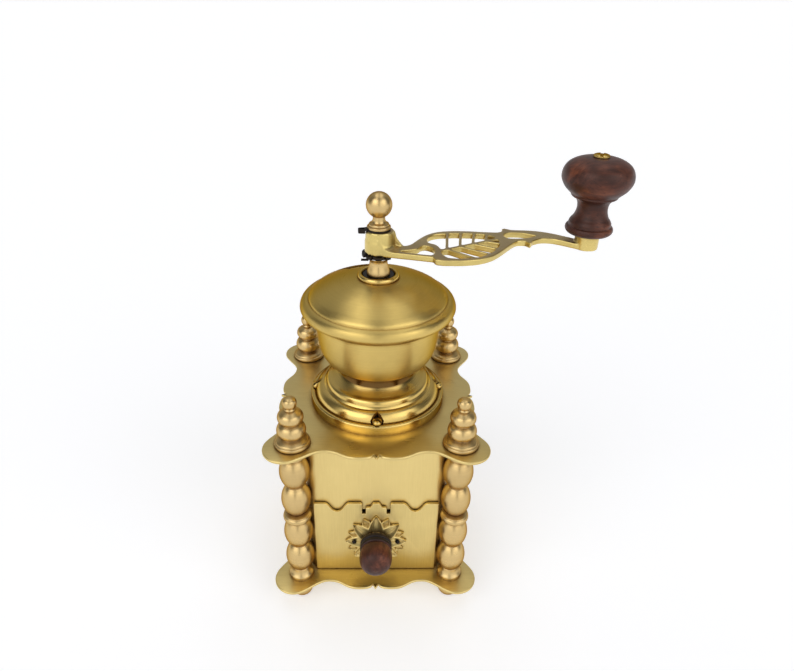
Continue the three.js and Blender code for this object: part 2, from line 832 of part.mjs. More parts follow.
function armOutline() {
  const shape = new THREE.Shape();
  const bossStart = radians(215);
  const bossEnd = radians(485);
  const bossEdge = [crankRadius + bossRadius * Math.cos(bossStart), bossRadius * Math.sin(bossStart)];
  shape.moveTo(0, -hubRadius);
  smooth(shape, [[8.2, -11.6], [20, -15.6], [29, -18.8]]);
  smooth(shape, [[30.3, -22.2], [34.5, -24.2]]);
  smooth(shape, [
    [45, -24.8], [54.5, -23.4], [63, -18.9], [70, -11.8], [78, -2.2], [83.5, 3.2], [88.4, 3.4],
  ]);
  straight(shape, 90.6, -0.6);
  straight(shape, 93.4, 3.8);
  smooth(shape, [[99, 6.8], [105, 6.4], [110.5, 3.2], bossEdge.map((place) => place / planUnit)]);
  shape.absarc(crankRadius, 0, bossRadius, bossStart, bossEnd, false);
  smooth(shape, [[116, 10], [110.6, 14.6], [104, 18.8], [96.5, 21.4], [85.4, 23]]);
  straight(shape, 81.6, 26);
  straight(shape, 79.8, 25.4);
  smooth(shape, [[78.4, 21], [75, 19]]);
  smooth(shape, [
    [67, 20.2], [57, 22.2], [46.2, 22.9], [37, 21.2], [30, 16.3], [24.6, 9.6], [19.8, 2.6],
  ]);
  smooth(shape, [[17, 0.2], [13, -0.6]]);
  shape.lineTo(hubRadius, 0);
  shape.absarc(0, 0, hubRadius, 0, 1.5 * Math.PI, false);
  return shape;
}

function armOpenings() {
  const root = new THREE.Path();
  root.moveTo(11.2 * planUnit, -7.9 * planUnit);
  smooth(root, [[17, -7.2], [22.4, -5.2], [24.6, -1.8], [27.4, -0.6]]);
  smooth(root, [[31.2, -5], [31, -12], [28.6, -15.6]]);
  smooth(root, [[22, -13.6], [13, -10.2], [11.2, -7.9]]);
  const leaf = new THREE.Path();
  leaf.moveTo(29.4 * planUnit, 8 * planUnit);
  smooth(leaf, [[31.6, 13.6], [36.5, 17.2], [46, 18.4], [57, 17.6], [67, 15.2], [71.5, 10.5]]);
  smooth(leaf, [[72.5, 4], [70.5, -4], [66, -10.8], [60, -16.8], [53, -20.4], [44, -21.4], [37.4, -20]]);
  smooth(leaf, [[34.8, -14], [35.4, -6], [33.6, 0.6], [30, 3.6], [29.4, 8]]);
  const eye = new THREE.Path();
  eye.moveTo(77.4 * planUnit, 13 * planUnit);
  smooth(eye, [[79.4, 16.8], [84, 18], [91, 16.8], [98.4, 12]]);
  smooth(eye, [[92, 8.8], [85, 8], [79.6, 8.8], [77.4, 13]]);
  return [root, leaf, eye];
}

// A straight bar between two points of the arm's plan
function bar(from, to, width) {
  const [start, end] = [from, to].map(([x, y]) => new THREE.Vector2(x, y).multiplyScalar(planUnit));
  const side = new THREE.Vector2(start.y - end.y, end.x - start.x).setLength(width / 2);
  const shape = new THREE.Shape([
    start.clone().sub(side), end.clone().sub(side), end.clone().add(side), start.clone().add(side),
  ]);
  return plate(shape, hubFoot, armThickness);
}

function armVeins() {
  const [stem, tip] = [[33.5, -9], [74, 9]];
  const pieces = [bar(stem, tip, midribWidth)];
  for (let i = 1; i <= veinCount; i += 1) {
    const share = (i - 0.35) / (veinCount + 0.8);
    const x = THREE.MathUtils.lerp(stem[0], tip[0], share);
    const y = THREE.MathUtils.lerp(stem[1], tip[1], share);
    const near = Math.min(-9.5, y - 14 + 2.2 * i);
    pieces.push(bar([x, y], [x + 5, 19.8], veinWidth), bar([x, y], [x + 12, near], veinWidth));
  }
  return pieces;
}

function crankArm() {
  const outline = armOutline();
  outline.holes.push(...armOpenings());
  const arm = plate(outline, hubFoot, armThickness, 1);
  const armTop = hubFoot + armThickness;
  const hub = turned([
    [0, hubFoot], [hubRadius, hubFoot], [hubRadius, armTop], [hubTopRadius, hubTop], [0, hubTop],
  ], middleSides);
  const flare = solid(turned([
    [0, hubFoot], [hubRadius + hubFillet, hubFoot], [hubRadius + hubFillet, armTop],
    [hubRadius + hubFillet * 0.35, armTop + hubFillet * 0.35],
    [hubRadius, armTop + hubFillet], [0, armTop + hubFillet],
  ], middleSides));
  const fillet = geometryOf(flare.intersect(solid(plate(armOutline(), hubFoot, hubHeight, 1))));
  const boss = rod(bossRadius, hubFoot, bossTop, middleSides).translate(crankRadius, 0, 0);
  const hubBore = rod(spindleBore, hubFoot - 1, hubTop + 1, middleSides);
  const bossBore = rod(rodBore, hubFoot - 1, bossTop + 1, middleSides).translate(crankRadius, 0, 0);
  return joined([arm, hub, fillet, boss, ...armVeins()], [hubBore, bossBore]);
}

const ballNutShares = [[0.96, 0], [0.96, 0.07], [0.84, 0.08], [0.84, 0.15]];
function ballNut() {
  const base = [0, ballFoot];
  const centre = ballFoot + ballNutHeight - ballRadius;
  const bore = stubRadius + fitGap;
  const boreTop = hubTop + stubLength + fitGap;
  const points = [];
  const first = Math.acos(ballNeck / ballRadius);
  const steps = 6;
  for (let i = 0; i <= steps; i += 1) {
    const angle = THREE.MathUtils.lerp(-first, Math.PI / 2, i / steps);
    points.push([ballRadius * Math.cos(angle), centre + ballRadius * Math.sin(angle)]);
  }
  points[steps][0] = 0;
  return turned([
    [bore, ballFoot],
    ...moulding(base, [hubTopRadius - 0.9, ballFoot + ballNutHeight], ballNutShares),
    [ballNeck, ballFoot + ballNutHeight * 0.24],
    ...points,
    [0, boreTop],
    [bore, boreTop],
  ], middleSides);
}

const knobShares = [
  [0.45, 0], [0.66, 0.04], [0.68, 0.09], [0.6, 0.125], [0.59, 0.185], [0.48, 0.25],
  [0.433, 0.35], [0.47, 0.43], [0.64, 0.49], [0.645, 0.53], [0.875, 0.62], [0.985, 0.7],
  [0.99, 0.78], [0.92, 0.87], [0.7, 0.95], [0.4, 1],
];
function crankKnob() {
  return turned([
    [rodBore, knobFoot],
    ...moulding([0, knobFoot], [knobRadius, knobTop], knobShares),
    [rodBore, knobTop],
  ], middleSides);
}

// Drawer front: a scalloped top edge with two narrow notches beside a middle lobe
function drawerOutline() {
  const foot = floorTop + fitGap;
  const [lobe, valley] = [foot + drawerLobeHeight, foot + drawerValleyHeight];
  const [notch, step] = [foot + drawerNotchHeight, foot + drawerStepHeight];
  const [notchOuter, notchInner] = [1, -1].map((side) => drawerNotchPlace + side * drawerNotchWidth / 2);
  const wave = ([fromX, fromZ], [toX, toZ]) => [0.2, 0.4, 0.6, 0.8, 1].map((share) => [
    THREE.MathUtils.lerp(fromX, toX, share),
    THREE.MathUtils.lerp(fromZ, toZ, THREE.MathUtils.smoothstep(share, 0, 1)),
  ]);
  const corner = [drawerFrontHalf - drawerCornerFlat, lobe];
  const dip = [drawerValleyPlace, valley];
  const half = [
    [drawerFrontHalf, foot],
    [drawerFrontHalf, lobe],
    corner,
    ...wave(corner, dip),
    ...wave(dip, [drawerLobePlace, lobe]),
    [notchOuter + drawerLobeRound, lobe],
    [notchOuter, lobe - drawerLobeRound],
    [notchOuter, notch],
    [notchInner, notch],
    [notchInner, step],
    [drawerStepPlace, step],
    [drawerMiddleHalf, lobe],
  ];
  const mirror = half.map(([x, z]) => [-x, z]).reverse();
  return new THREE.Shape([...half, ...mirror].map(([x, z]) => new THREE.Vector2(x, z)));
}

function drawerFront() {
  const shape = drawerOutline();
  addHole(shape, 0, knobLevel, screwBore);
  for (const side of [-1, 1]) {
    addHole(shape, side * nailPlace, knobLevel, nailRadius + fitGap);
  }
  return upright(shape, backOfFront, drawerFrontThickness);
}

function drawerBox() {
  const low = floorTop + fitGap;
  const middle = faceOfCase + drawerDepth / 2;
  const outer = block(2 * drawerHalf, drawerDepth, drawerHeight, 0, middle, low + drawerHeight / 2);
  const inner = block(
    2 * (drawerHalf - drawerWall), drawerDepth - 2 * drawerWall, drawerHeight,
    0, middle, low + drawerWall + drawerHeight / 2,
  );
  const hole = rod(screwBore, -drawerWall, 2 * drawerWall, screwSides)
    .rotateX(-Math.PI / 2).translate(0, faceOfCase, knobLevel);
  return carved(outer, [inner, hole]);
}

// Rosette: pointed leaves around a raised middle, the upper ones longer
function rosette() {
  const shape = new THREE.Shape();
  const step = 2 * Math.PI / rosetteLeaves;
  const points = [];
  for (let i = 0; i < rosetteLeaves; i += 1) {
    const reach = rosetteRadius * (1 + rosetteCrown * Math.max(0, Math.sin(i * step)) ** 3);
    for (const [share, radius] of [[-0.5, 0.74], [-0.25, 0.92], [0, 1], [0.25, 0.92]]) {
      points.push(new THREE.Vector2(reach * radius).rotateAround(new THREE.Vector2(), (i + share) * step));
    }
  }
  shape.setFromPoints(points);
  addHole(shape, 0, 0, screwBore);
  for (const side of [-1, 1]) {
    addHole(shape, side * nailPlace, 0, nailRadius + fitGap);
  }
  const leaves = plate(shape, 0, rosetteThickness / 2);
  const hub = turned([
    [screwBore, 0], [rosetteRadius * 0.55, 0], [rosetteRadius * 0.5, rosetteThickness * 0.9],
    [rosetteRadius * 0.4, rosetteThickness], [screwBore, rosetteThickness],
  ], middleSides);
  return joined([leaves, hub]).rotateX(Math.PI / 2).translate(0, faceOfFront - fitGap, knobLevel);
}

// The drawer's knob and nails are turned about an axis that points out of the front
function outwards(profile, sides, x, y) {
  return turned(profile, sides).rotateX(Math.PI / 2).translate(x, y, knobLevel);
}

const drawerKnobShares = [
  [0.8, 0], [0.95, 0.03], [0.95, 0.15], [0.86, 0.18], [0.86, 0.22], [0.95, 0.27], [1, 0.46],
  [0.97, 0.64], [0.78, 0.84], [0.45, 0.96], [0, 1],
];
const knobSeat = faceOfFront - fitGap - rosetteThickness - fitGap;
const knobLength = drawerKnobReach - rosetteThickness - 2 * fitGap;
function drawerKnob() {
  const bore = screwBore;
  return outwards([
    [bore, 0],
    ...moulding([0, 0], [drawerKnobRadius, knobLength], drawerKnobShares),
    [0, knobLength * 0.5],
    [bore, knobLength * 0.5],
  ], middleSides, 0, knobSeat);
}

function drawerKnobScrew() {
  const headSeat = faceOfCase + drawerWall + fitGap;
  const length = headSeat - knobSeat + knobLength * 0.5 - fitGap;
  return screw(screwRadius, screwHead, screwHeadHeight, length)
    .rotateX(-Math.PI / 2).translate(0, headSeat, knobLevel);
}

function nail(x) {
  const seat = faceOfFront - fitGap - rosetteThickness / 2 - fitGap;
  const length = backOfFront - seat;
  return outwards([
    [0, -length], [nailRadius, -length], [nailRadius, 0], [nailHead, 0],
    [nailHead * 0.8, nailHead * 0.6], [0, nailHead * 0.8],
  ], screwSides, x, seat);
}

// Assembly
const mill = new THREE.Group();
const housing = new THREE.Group();
const drawer = new THREE.Group();
const lidHatch = new THREE.Group();
const crank = new THREE.Group();
mill.add(housing, drawer, lidHatch, crank);
crank.rotation.z = radians(crankAngle);

const throat = [0, 0, throatRadius, largeSides];
const flangeHoles = quarters.map((quarter) => {
  const angle = quarter * Math.PI / 2;
  return [screwCircle * Math.cos(angle), screwCircle * Math.sin(angle), screwBore];
});
add(housing, 'bottom_plate', cornerPlate(footHeight, []), brushedBrass);
add(housing, 'top_plate', cornerPlate(shoulder, [throat, ...flangeHoles]), brushedBrass);
add(housing, 'case_shell', caseShell(), brushedBrass);
for (const [place, x, y] of corners) {
  const at = [x * columnPlace, y * columnPlace];
  const rodLow = footHeight - rodInFoot;
  add(housing, `column_${place}`, column(), turnedBrass, ...at);
  add(housing, `finial_${place}`, finial(), turnedBrass, ...at);
  add(housing, `foot_${place}`, foot(), turnedBrass, ...at);
  add(housing, `tie_rod_${place}`, rod(rodRadius, rodLow, deck + rodInFinial, screwSides), steel, ...at);
}
add(housing, 'hopper_flange', hopperFlange(), polishedBrass);
quarters.forEach((quarter) => {
  const angle = quarter * Math.PI / 2;
  const length = screwSeat + plateThickness + burrFlangeThickness;
  const mesh = add(
    housing, `flange_screw_${quarter + 1}`,
    screw(screwRadius, screwHead, screwHeadHeight, length), polishedBrass,
    screwCircle * Math.cos(angle), screwCircle * Math.sin(angle), deck + screwSeat + fitGap,
  );
  mesh.rotation.z = angle + Math.PI / 4;
});
add(housing, 'hopper_bowl', hopperBowl(), brushedBrass);
add(housing, 'lid_dome', lidDome(), brushedBrass);
add(housing, 'lid_collar', lidCollar(), polishedBrass);
add(housing, 'dome_bush', domeBush(), blackSteel);
add(housing, 'bearing_sleeve', bearingSleeve(), turnedBrass);
add(housing, 'retaining_ring', retainingRing(), steel);
const pin = rod(pinRadius, sleeveRadius - fitGap, pinReach, screwSides).rotateY(-Math.PI / 2);
add(housing, 'sleeve_pin', pin, blackSteel, 0, 0, sleeveTop - 2 * pinRadius);
add(housing, 'outer_burr', outerBurr(), castIron);
add(housing, 'lower_bridge', lowerBridge(), steel);
for (const [place, side] of [['left', -1], ['right', 1]]) {
  const length = bridgeThickness + burrFlangeThickness;
  const mesh = add(
    housing, `bridge_screw_${place}`,
    screw(screwRadius, screwHead, screwHeadHeight, length), steel,
    side * bridgeScrewPlace, 0, bridgeHigh - bridgeThickness - fitGap,
  );
  mesh.rotation.x = Math.PI;
  const guideX = side * (drawerHalf + fitGap + guideWidth / 2);
  const guideLength = 2 * (caseHalf - caseWall - caseCorner);
  const guide = block(guideWidth, guideLength, guideHeight, guideX, 0, floorTop + guideHeight / 2);
  add(housing, `drawer_guide_${place}`, guide, brushedBrass);
}

add(drawer, 'drawer_front', drawerFront(), brushedBrass);
add(drawer, 'drawer_box', drawerBox(), brushedBrass);
add(drawer, 'rosette', rosette(), castBrass);
add(drawer, 'rosette_nail_left', nail(-nailPlace), blackSteel);
add(drawer, 'rosette_nail_right', nail(nailPlace), blackSteel);
add(drawer, 'drawer_knob', drawerKnob(), wood);
add(drawer, 'drawer_knob_screw', drawerKnobScrew(), steel);

add(lidHatch, 'hatch', hatch(), brushedBrass);
add(
  lidHatch, 'hatch_knob', hatchKnob(), polishedBrass,
  hatchKnobPlace * Math.cos(hatchKnobTurn), hatchKnobPlace * Math.sin(hatchKnobTurn),
);

add(crank, 'thrust_washer', tube(spindleBore, thrustRadius, sleeveTop, nutFoot, middleSides), steel);
add(crank, 'adjusting_nut', adjustingNut(), blackSteel);
add(crank, 'spindle', spindle(), steel);
add(crank, 'spindle_spring', spring(), steel);
add(crank, 'inner_burr', innerBurr(), castIron);
add(crank, 'crank_arm', crankArm(), castBrass);
add(crank, 'tab_washer', tabWasher(), blackSteel);
add(crank, 'ball_nut', ballNut(), turnedBrass);
const knobScrewLength = knobTop - hubFoot;
add(
  crank, 'knob_screw', screw(rodRadius, knobScrewHead, knobScrewHeadHeight, knobScrewLength), polishedBrass,
  crankRadius, 0, knobTop + fitGap,
);
add(crank, 'crank_knob', crankKnob(), wood, crankRadius, 0, 0);

// The origin lies on the table, under the middle of the whole mill
mill.updateMatrixWorld(true);
const extent = new THREE.Box3().setFromObject(mill, true);
mill.position.set(-(extent.min.x + extent.max.x) / 2, -(extent.min.y + extent.max.y) / 2, 0);

export default mill;
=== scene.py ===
"""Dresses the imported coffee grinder: fine pieces in place of the faceted solids, brass, steel and wood
finishes, and a pale stage with the camera at the photograph's angle. Metres, +Z up."""

import json
import math

import bmesh
import bpy
from bpy.props import FloatProperty, FloatVectorProperty, IntProperty, PointerProperty
from mathutils import Matrix, Vector
from mathutils.geometry import interpolate_bezier


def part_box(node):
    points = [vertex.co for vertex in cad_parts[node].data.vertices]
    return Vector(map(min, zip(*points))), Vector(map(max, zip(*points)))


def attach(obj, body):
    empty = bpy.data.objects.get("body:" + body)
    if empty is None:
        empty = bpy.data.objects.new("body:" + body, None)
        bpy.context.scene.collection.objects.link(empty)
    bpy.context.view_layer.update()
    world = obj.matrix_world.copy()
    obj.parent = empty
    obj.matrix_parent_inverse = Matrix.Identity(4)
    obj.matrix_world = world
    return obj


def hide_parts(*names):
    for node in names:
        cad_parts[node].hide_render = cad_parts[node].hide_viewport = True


bl_info = {
    "name": "Brass Coffee Grinder",
    "version": (1, 0, 0),
    "blender": (4, 5, 0),
    "location": "View3D > Sidebar > Grinder",
    "description": "Builds the fine pieces, finishes and stage of a brass table mill on its frame",
    "category": "Object",
}

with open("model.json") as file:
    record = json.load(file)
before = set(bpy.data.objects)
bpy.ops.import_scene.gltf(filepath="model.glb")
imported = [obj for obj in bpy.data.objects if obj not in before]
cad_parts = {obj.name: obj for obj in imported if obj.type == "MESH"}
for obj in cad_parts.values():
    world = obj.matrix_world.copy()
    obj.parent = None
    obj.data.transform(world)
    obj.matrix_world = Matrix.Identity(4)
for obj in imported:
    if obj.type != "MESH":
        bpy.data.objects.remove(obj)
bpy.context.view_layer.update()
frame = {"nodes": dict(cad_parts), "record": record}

MM = 0.001
TINY = 1e-6
CORNERS = {"front_left": (-1, -1), "front_right": (1, -1), "back_left": (-1, 1), "back_right": (1, 1)}
QUARTERS = range(4)
SCREWS = [f"flange_screw_{quarter + 1}" for quarter in QUARTERS]


# Places that the frame gives
def middle_of(node):
    low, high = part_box(node)
    return (low + high) / 2


def foot_of(node):
    """The middle of a node's box, at its lowest level."""
    low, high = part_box(node)
    return Vector(((low.x + high.x) / 2, (low.y + high.y) / 2, low.z))


def height_of(node):
    low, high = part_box(node)
    return high.z - low.z


def radius_of(node):
    """A turned node has corners at its foremost and hindmost points."""
    low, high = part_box(node)
    return (high.y - low.y) / 2


def half_width_of(node):
    low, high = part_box(node)
    return (high.x - low.x) / 2


def on_axis(node):
    """The spindle's axis at a node's lowest level."""
    return (AXIS.x, AXIS.y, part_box(node)[0].z)


AXIS = middle_of("bearing_sleeve")
KNOB_AXIS = middle_of("crank_knob")
CRANK_TURN = math.atan2(KNOB_AXIS.y - AXIS.y, KNOB_AXIS.x - AXIS.x)
CRANK_RADIUS = math.hypot(KNOB_AXIS.y - AXIS.y, KNOB_AXIS.x - AXIS.x)
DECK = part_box("top_plate")[1].z
ROD_BORE = 2.8 * MM
SPINDLE_BORE = 4.3 * MM
QUARTER_TURN = math.pi / 2
OUTWARDS = Matrix.Rotation(QUARTER_TURN, 3, "X")


# Property groups
def length(name, description, default, low=0.0001, high=0.3):
    return FloatProperty(
        name=name, description=description, default=default, min=low, max=high,
        unit="LENGTH", subtype="DISTANCE", precision=5,
    )


def colour(name, description, default):
    return FloatVectorProperty(
        name=name, description=description, default=default, size=3, min=0, max=1, subtype="COLOR",
    )


def factor(name, description, default):
    return FloatProperty(
        name=name, description=description, default=default, min=0, max=1, subtype="FACTOR",
    )


class StandSizes(bpy.types.PropertyGroup):
    plate_lobe: length("Corner lobe", "Radius of the plates' round corners", 13.2 * MM)
    plate_valley: length("Valley", "Distance of the plates' valleys from the middle", 57 * MM)
    plate_bulge: length("Bulge", "Distance of the plates' bulges from the middle", 63.2 * MM)
    sheet_edge: length("Sheet edge", "Rounding of the edges of the thick sheets", 0.7 * MM)
    case_corner: length("Case corner", "Radius of the case's corners", 8 * MM)
    case_wall: length("Case wall", "Thickness of the case's sheet", 1.2 * MM)
    column_neck: length("Column neck", "Radius between two beads", 5.2 * MM)
    column_collar: length("Column collar", "Height of the ring between the beads", 6.2 * MM)
    column_ring: length("Column foot ring", "Height of the flared ring at the foot", 7.2 * MM)
    column_cap: length("Column cap", "Height of the moulding under the top plate", 8.3 * MM)


class HopperSizes(bpy.types.PropertyGroup):
    neck: length("Neck", "Radius of the neck between foot and bowl", 24.2 * MM)
    bowl: length("Bowl", "Radius of the bowl under its rim", 38.6 * MM)
    mouth: length("Mouth", "Radius of the bowl's opening", 41.4 * MM)
    wall: length("Wall", "Thickness of the hopper's sheet", 1.5 * MM)
    rim: length("Rim", "Height of the rounded rim", 13.7 * MM)
    spigot: length("Spigot", "Depth of the lid's ring inside the mouth", 3.7 * MM)
    opening_angle: FloatProperty(
        name="Opening", description="Angle of the lid's fan-shaped opening",
        default=math.radians(56), subtype="ANGLE",
    )
    opening_middle: FloatProperty(
        name="Opening's place", description="Direction of the lid's opening from the spindle",
        default=math.radians(111), subtype="ANGLE",
    )
    opening_inner: length("Opening inside", "Inner radius of the opening", 19 * MM)
    opening_outer: length("Opening outside", "Outer radius of the opening", 35.5 * MM)
    screw_head: length("Screw head", "Radius of the slotted heads", 2.7 * MM)


class CrankSizes(bpy.types.PropertyGroup):
    arm: length("Arm", "Thickness of the arm", 3.6 * MM)
    hub: length("Hub", "Radius of the hub at the arm", 8.2 * MM)
    hub_top: length("Hub top", "Radius of the hub's upper end", 7.5 * MM)
    boss: length("Boss", "Radius of the boss under the knob", 7.1 * MM)
    boss_height: length("Boss height", "Height of the boss", 8.6 * MM)
    midrib: length("Midrib", "Width of the leaf's midrib", 2.4 * MM)
    vein: length("Vein", "Width of a side vein", 1.7 * MM)
    veins: IntProperty(name="Veins", description="Pairs of side veins", default=4, min=1, max=8)
    grain: length("Casting", "Cell size of the cast surface", 0.42 * MM, 0.0002)
    ball: length("Ball", "Radius of the ball nut", 7.5 * MM)
    knob: length("Knob", "Radius of the wooden knob", 20.3 * MM)
    nut_notches: IntProperty(
        name="Notches", description="Notches of the adjusting nut", default=10, min=4, max=40,
    )


class DrawerSizes(bpy.types.PropertyGroup):
    lobe_height: length("Lobe height", "Height of the front at its lobes", 59.8 * MM)
    valley_height: length("Valley height", "Height of the front at its valleys", 52.9 * MM)
    notch_height: length("Notch height", "Height of the front at its two notches", 51 * MM)
    step_height: length("Step height", "Height of the small step beside a notch", 56.2 * MM)
    sheet_edge: length("Sheet edge", "Rounding of the front's edges", 0.45 * MM)
    leaves: IntProperty(name="Leaves", description="Front leaves of the rosette", default=8, min=4, max=16)
    leaf_depth: length("Leaf depth", "Depth of the hollow leaves", 1.5 * MM)
    knob: length("Knob", "Radius of the wooden knob", 10.5 * MM)


class Finishes(bpy.types.PropertyGroup):
    sheet: colour("Sheet brass", "Brushed sheet of plates, case and drawer", (0.77, 0.60, 0.24))
    spun: colour("Spun brass", "Hopper bowl and lid", (0.72, 0.53, 0.17))
    turned: colour("Turned brass", "Columns, finials, feet and nut", (0.72, 0.52, 0.23))
    polished: colour("Polished brass", "Hopper foot, lid collar and screws", (0.78, 0.56, 0.18))
    cast: colour("Cast brass", "Crank arm", (0.77, 0.61, 0.22))
    # Real tarnish, and also the colour of the painted shade in hollows, under overhangs and at the hopper's
    # neck.
    tarnish_and_shade: colour("Tarnish", "Brass where it has darkened", (0.2, 0.095, 0.028))
    # Painted shade: the colour to which the cast arm's faces that look up are darkened.
    top_shade: colour("Dulled brass", "Cast brass on faces that look up", (0.35, 0.24, 0.11))
    edge: colour("Brass rim", "Brass where it is seen at a flat angle", (0.42, 0.26, 0.14))
    steel: colour("Steel", "Bare steel", (0.56, 0.56, 0.55))
    black: colour("Black steel", "Blackened steel", (0.03, 0.026, 0.024))
    iron: colour("Iron", "Bare cast iron of the burrs", (0.16, 0.16, 0.165))
    wood_dark: colour("Dark wood", "Dark grain of the knobs", (0.026, 0.0085, 0.0055))
    wood_light: colour("Light wood", "Light grain of the knobs", (0.16, 0.048, 0.026))
    # Real worn wood, and also the colour of the painted highlight on the drawer knob.
    wood_worn_and_highlight: colour("Worn wood", "Wood where the stain has worn off", (0.34, 0.1, 0.035))
    wear: factor("Wear", "How bright the edges are rubbed", 0.5)


class StageSizes(bpy.types.PropertyGroup):
    focal: FloatProperty(name="Focal length", description="Lens for the photograph's view", default=28.19)
    pitch: FloatProperty(
        name="Pitch", description="Camera's tilt below the horizon",
        default=math.radians(29.44), subtype="ANGLE",
    )
    yaw: FloatProperty(
        name="Yaw", description="Camera's turn towards the crank",
        default=math.radians(1.82), subtype="ANGLE",
    )
    roll: FloatProperty(
        name="Roll", description="Camera's roll", default=math.radians(1.43), subtype="ANGLE",
    )
    floor_reach: length("Floor", "Half the floor's width", 60, 1, 200)


# Outlines and profiles
def through(points, steps=6):
    """A smooth line through all points."""
    if len(points) < 3:
        return [tuple(point) for point in points]
    given = [Vector(point) for point in points]
    given = [2 * given[0] - given[1], *given, 2 * given[-1] - given[-2]]
    line = []
    for before, start, end, after in zip(given, given[1:], given[2:], given[3:]):
        for step in range(steps):
            t = step / steps
            bend = (
                2 * start + (end - before) * t
                + (2 * before - 5 * start + 4 * end - after) * t**2
                + (3 * start - before - 3 * end + after) * t**3
            )
            line.append(tuple(bend / 2))
    return [*line, tuple(given[-2])]


def profile(*runs, steps=6):
    """Smooth runs that meet at sharp corners."""
    line = []
    for run in runs:
        for point in through(run, steps):
            if not line or (Vector(point) - Vector(line[-1])).length > TINY:
                line.append(point)
    return line


def moulding(start, end, shares):
    """Points between two corners, given as shares of the way across and up."""
    return [
        (start[0] + (end[0] - start[0]) * across, start[1] + (end[1] - start[1]) * up)
        for across, up in shares
    ]


def arc(centre, radius, start, end, steps):
    angles = [start + (end - start) * step / steps for step in range(steps + 1)]
    return [(centre[0] + radius * math.cos(a), centre[1] + radius * math.sin(a)) for a in angles]


def circle(centre, radius, steps=24):
    return arc(centre, radius, 0, 2 * math.pi, steps)[:-1]


def bezier(a, b, c, d, steps=10):
    knots = [Vector((*point, 0)) for point in (a, b, c, d)]
    return [(point.x, point.y) for point in interpolate_bezier(*knots, steps)]


def clean(points, gap=1e-5):
    """A closed outline without doubled points."""
    kept = []
    for point in points:
        if not kept or (Vector(point) - Vector(kept[-1])).length > gap:
            kept.append(point)
    if (Vector(kept[0]) - Vector(kept[-1])).length <= gap:
        kept.pop()
    return kept


def area(points):
    return sum(a[0] * b[1] - b[0] * a[1] for a, b in zip(points, points[1:] + points[:1])) / 2


def inset(points, distance):
    """An outline moved inwards, or outwards for a clockwise one."""
    sharpest = 0.55
    shifted = []
    count = len(points)
    for i, point in enumerate(points):
        here = Vector(point)
        before = (here - Vector(points[i - 1])).normalized()
        after = (Vector(points[(i + 1) % count]) - here).normalized()
        side = Vector((-before.y - after.y, before.x + after.x))
        if side.length < TINY:
            side = Vector((-before.y, before.x))
        side.normalize()
        share = max(side.dot(Vector((-before.y, before.x))), sharpest)
        shifted.append(tuple(here + side * distance / share))
    return shifted


# Meshes
def ring_faces(mesh, lower, upper):
    """Faces between two rings, either of which may be a single point."""
    count = max(len(lower), len(upper))
    for i in range(count):
        j = (i + 1) % count
        corners = list(dict.fromkeys([
            lower[i % len(lower)], lower[j % len(lower)], upper[j % len(upper)], upper[i % len(upper)],
        ]))
        if len(corners) > 2:
            mesh.faces.new(corners)


def turned(line, steps=96):
    """A turned solid from its profile, closed on itself or by the axis."""
    mesh = bmesh.new()
    rings = []
    for radius, height in line:
        if radius < TINY:
            rings.append([mesh.verts.new((0, 0, height))])
        else:
            rings.append([mesh.verts.new((x, y, height)) for x, y in circle((0, 0), radius, steps)])
    if len(rings[0]) > 1 or len(rings[-1]) > 1:
        rings.append(rings[0])
    for lower, upper in zip(rings, rings[1:]):
        ring_faces(mesh, lower, upper)
    bmesh.ops.recalc_face_normals(mesh, faces=mesh.faces)
    return mesh


def slab(outline, thickness, holes=(), edge=0.3 * MM, steps=3):
    """A flat sheet with rounded edges, from its outline and holes."""
    mesh = bmesh.new()
    quarter = [QUARTER_TURN * step / steps for step in range(steps + 1)]
    section = [(edge * (1 - math.sin(a)), edge * (1 - math.cos(a))) for a in quarter]
    section += [(across, thickness - up) for across, up in reversed(section)]
    rims = [[], []]
    for i, loop in enumerate([outline, *holes]):
        points = clean(loop)
        if (area(points) < 0) != (i > 0):
            points.reverse()
        rings = [[mesh.verts.new((x, y, up)) for x, y in inset(points, across)] for across, up in section]
        for lower, upper in zip(rings, rings[1:]):
            ring_faces(mesh, lower, upper)
        for rim, ring in zip(rims, (rings[0], rings[-1])):
            rim.extend(mesh.edges.get(pair) for pair in zip(ring, ring[1:] + ring[:1]))
    for rim in rims:
        bmesh.ops.triangle_fill(mesh, use_beauty=True, use_dissolve=False, edges=rim)
    bmesh.ops.recalc_face_normals(mesh, faces=mesh.faces)
    return mesh


def block(low, high):
    mesh = bmesh.new()
    bmesh.ops.create_cube(mesh, size=1)
    low, high = Vector(low), Vector(high)
    bmesh.ops.scale(mesh, vec=high - low, verts=mesh.verts)
    bmesh.ops.translate(mesh, vec=(low + high) / 2, verts=mesh.verts)
    return mesh


def moved(mesh, place=(0, 0, 0), turn=None):
    if turn:
        bmesh.ops.rotate(mesh, cent=(0, 0, 0), matrix=turn, verts=mesh.verts)
    bmesh.ops.translate(mesh, vec=place, verts=mesh.verts)
    return mesh


def evened(mesh, verts, factor):
    bmesh.ops.smooth_vert(
        mesh, verts=verts, factor=factor, use_axis_x=True, use_axis_y=True, use_axis_z=True,
    )


def as_object(mesh, name):
    data = bpy.data.meshes.new(name)
    mesh.to_mesh(data)
    mesh.free()
    made = bpy.data.objects.new(name, data)
    bpy.context.scene.collection.objects.link(made)
    return made


def settled(obj):
    """Makes the result of an object's modifiers its own mesh."""
    shape = obj.evaluated_get(bpy.context.evaluated_depsgraph_get())
    data = bpy.data.meshes.new_from_object(shape)
    old = obj.data
    obj.modifiers.clear()
    obj.data = data
    bpy.data.meshes.remove(old)
    return obj


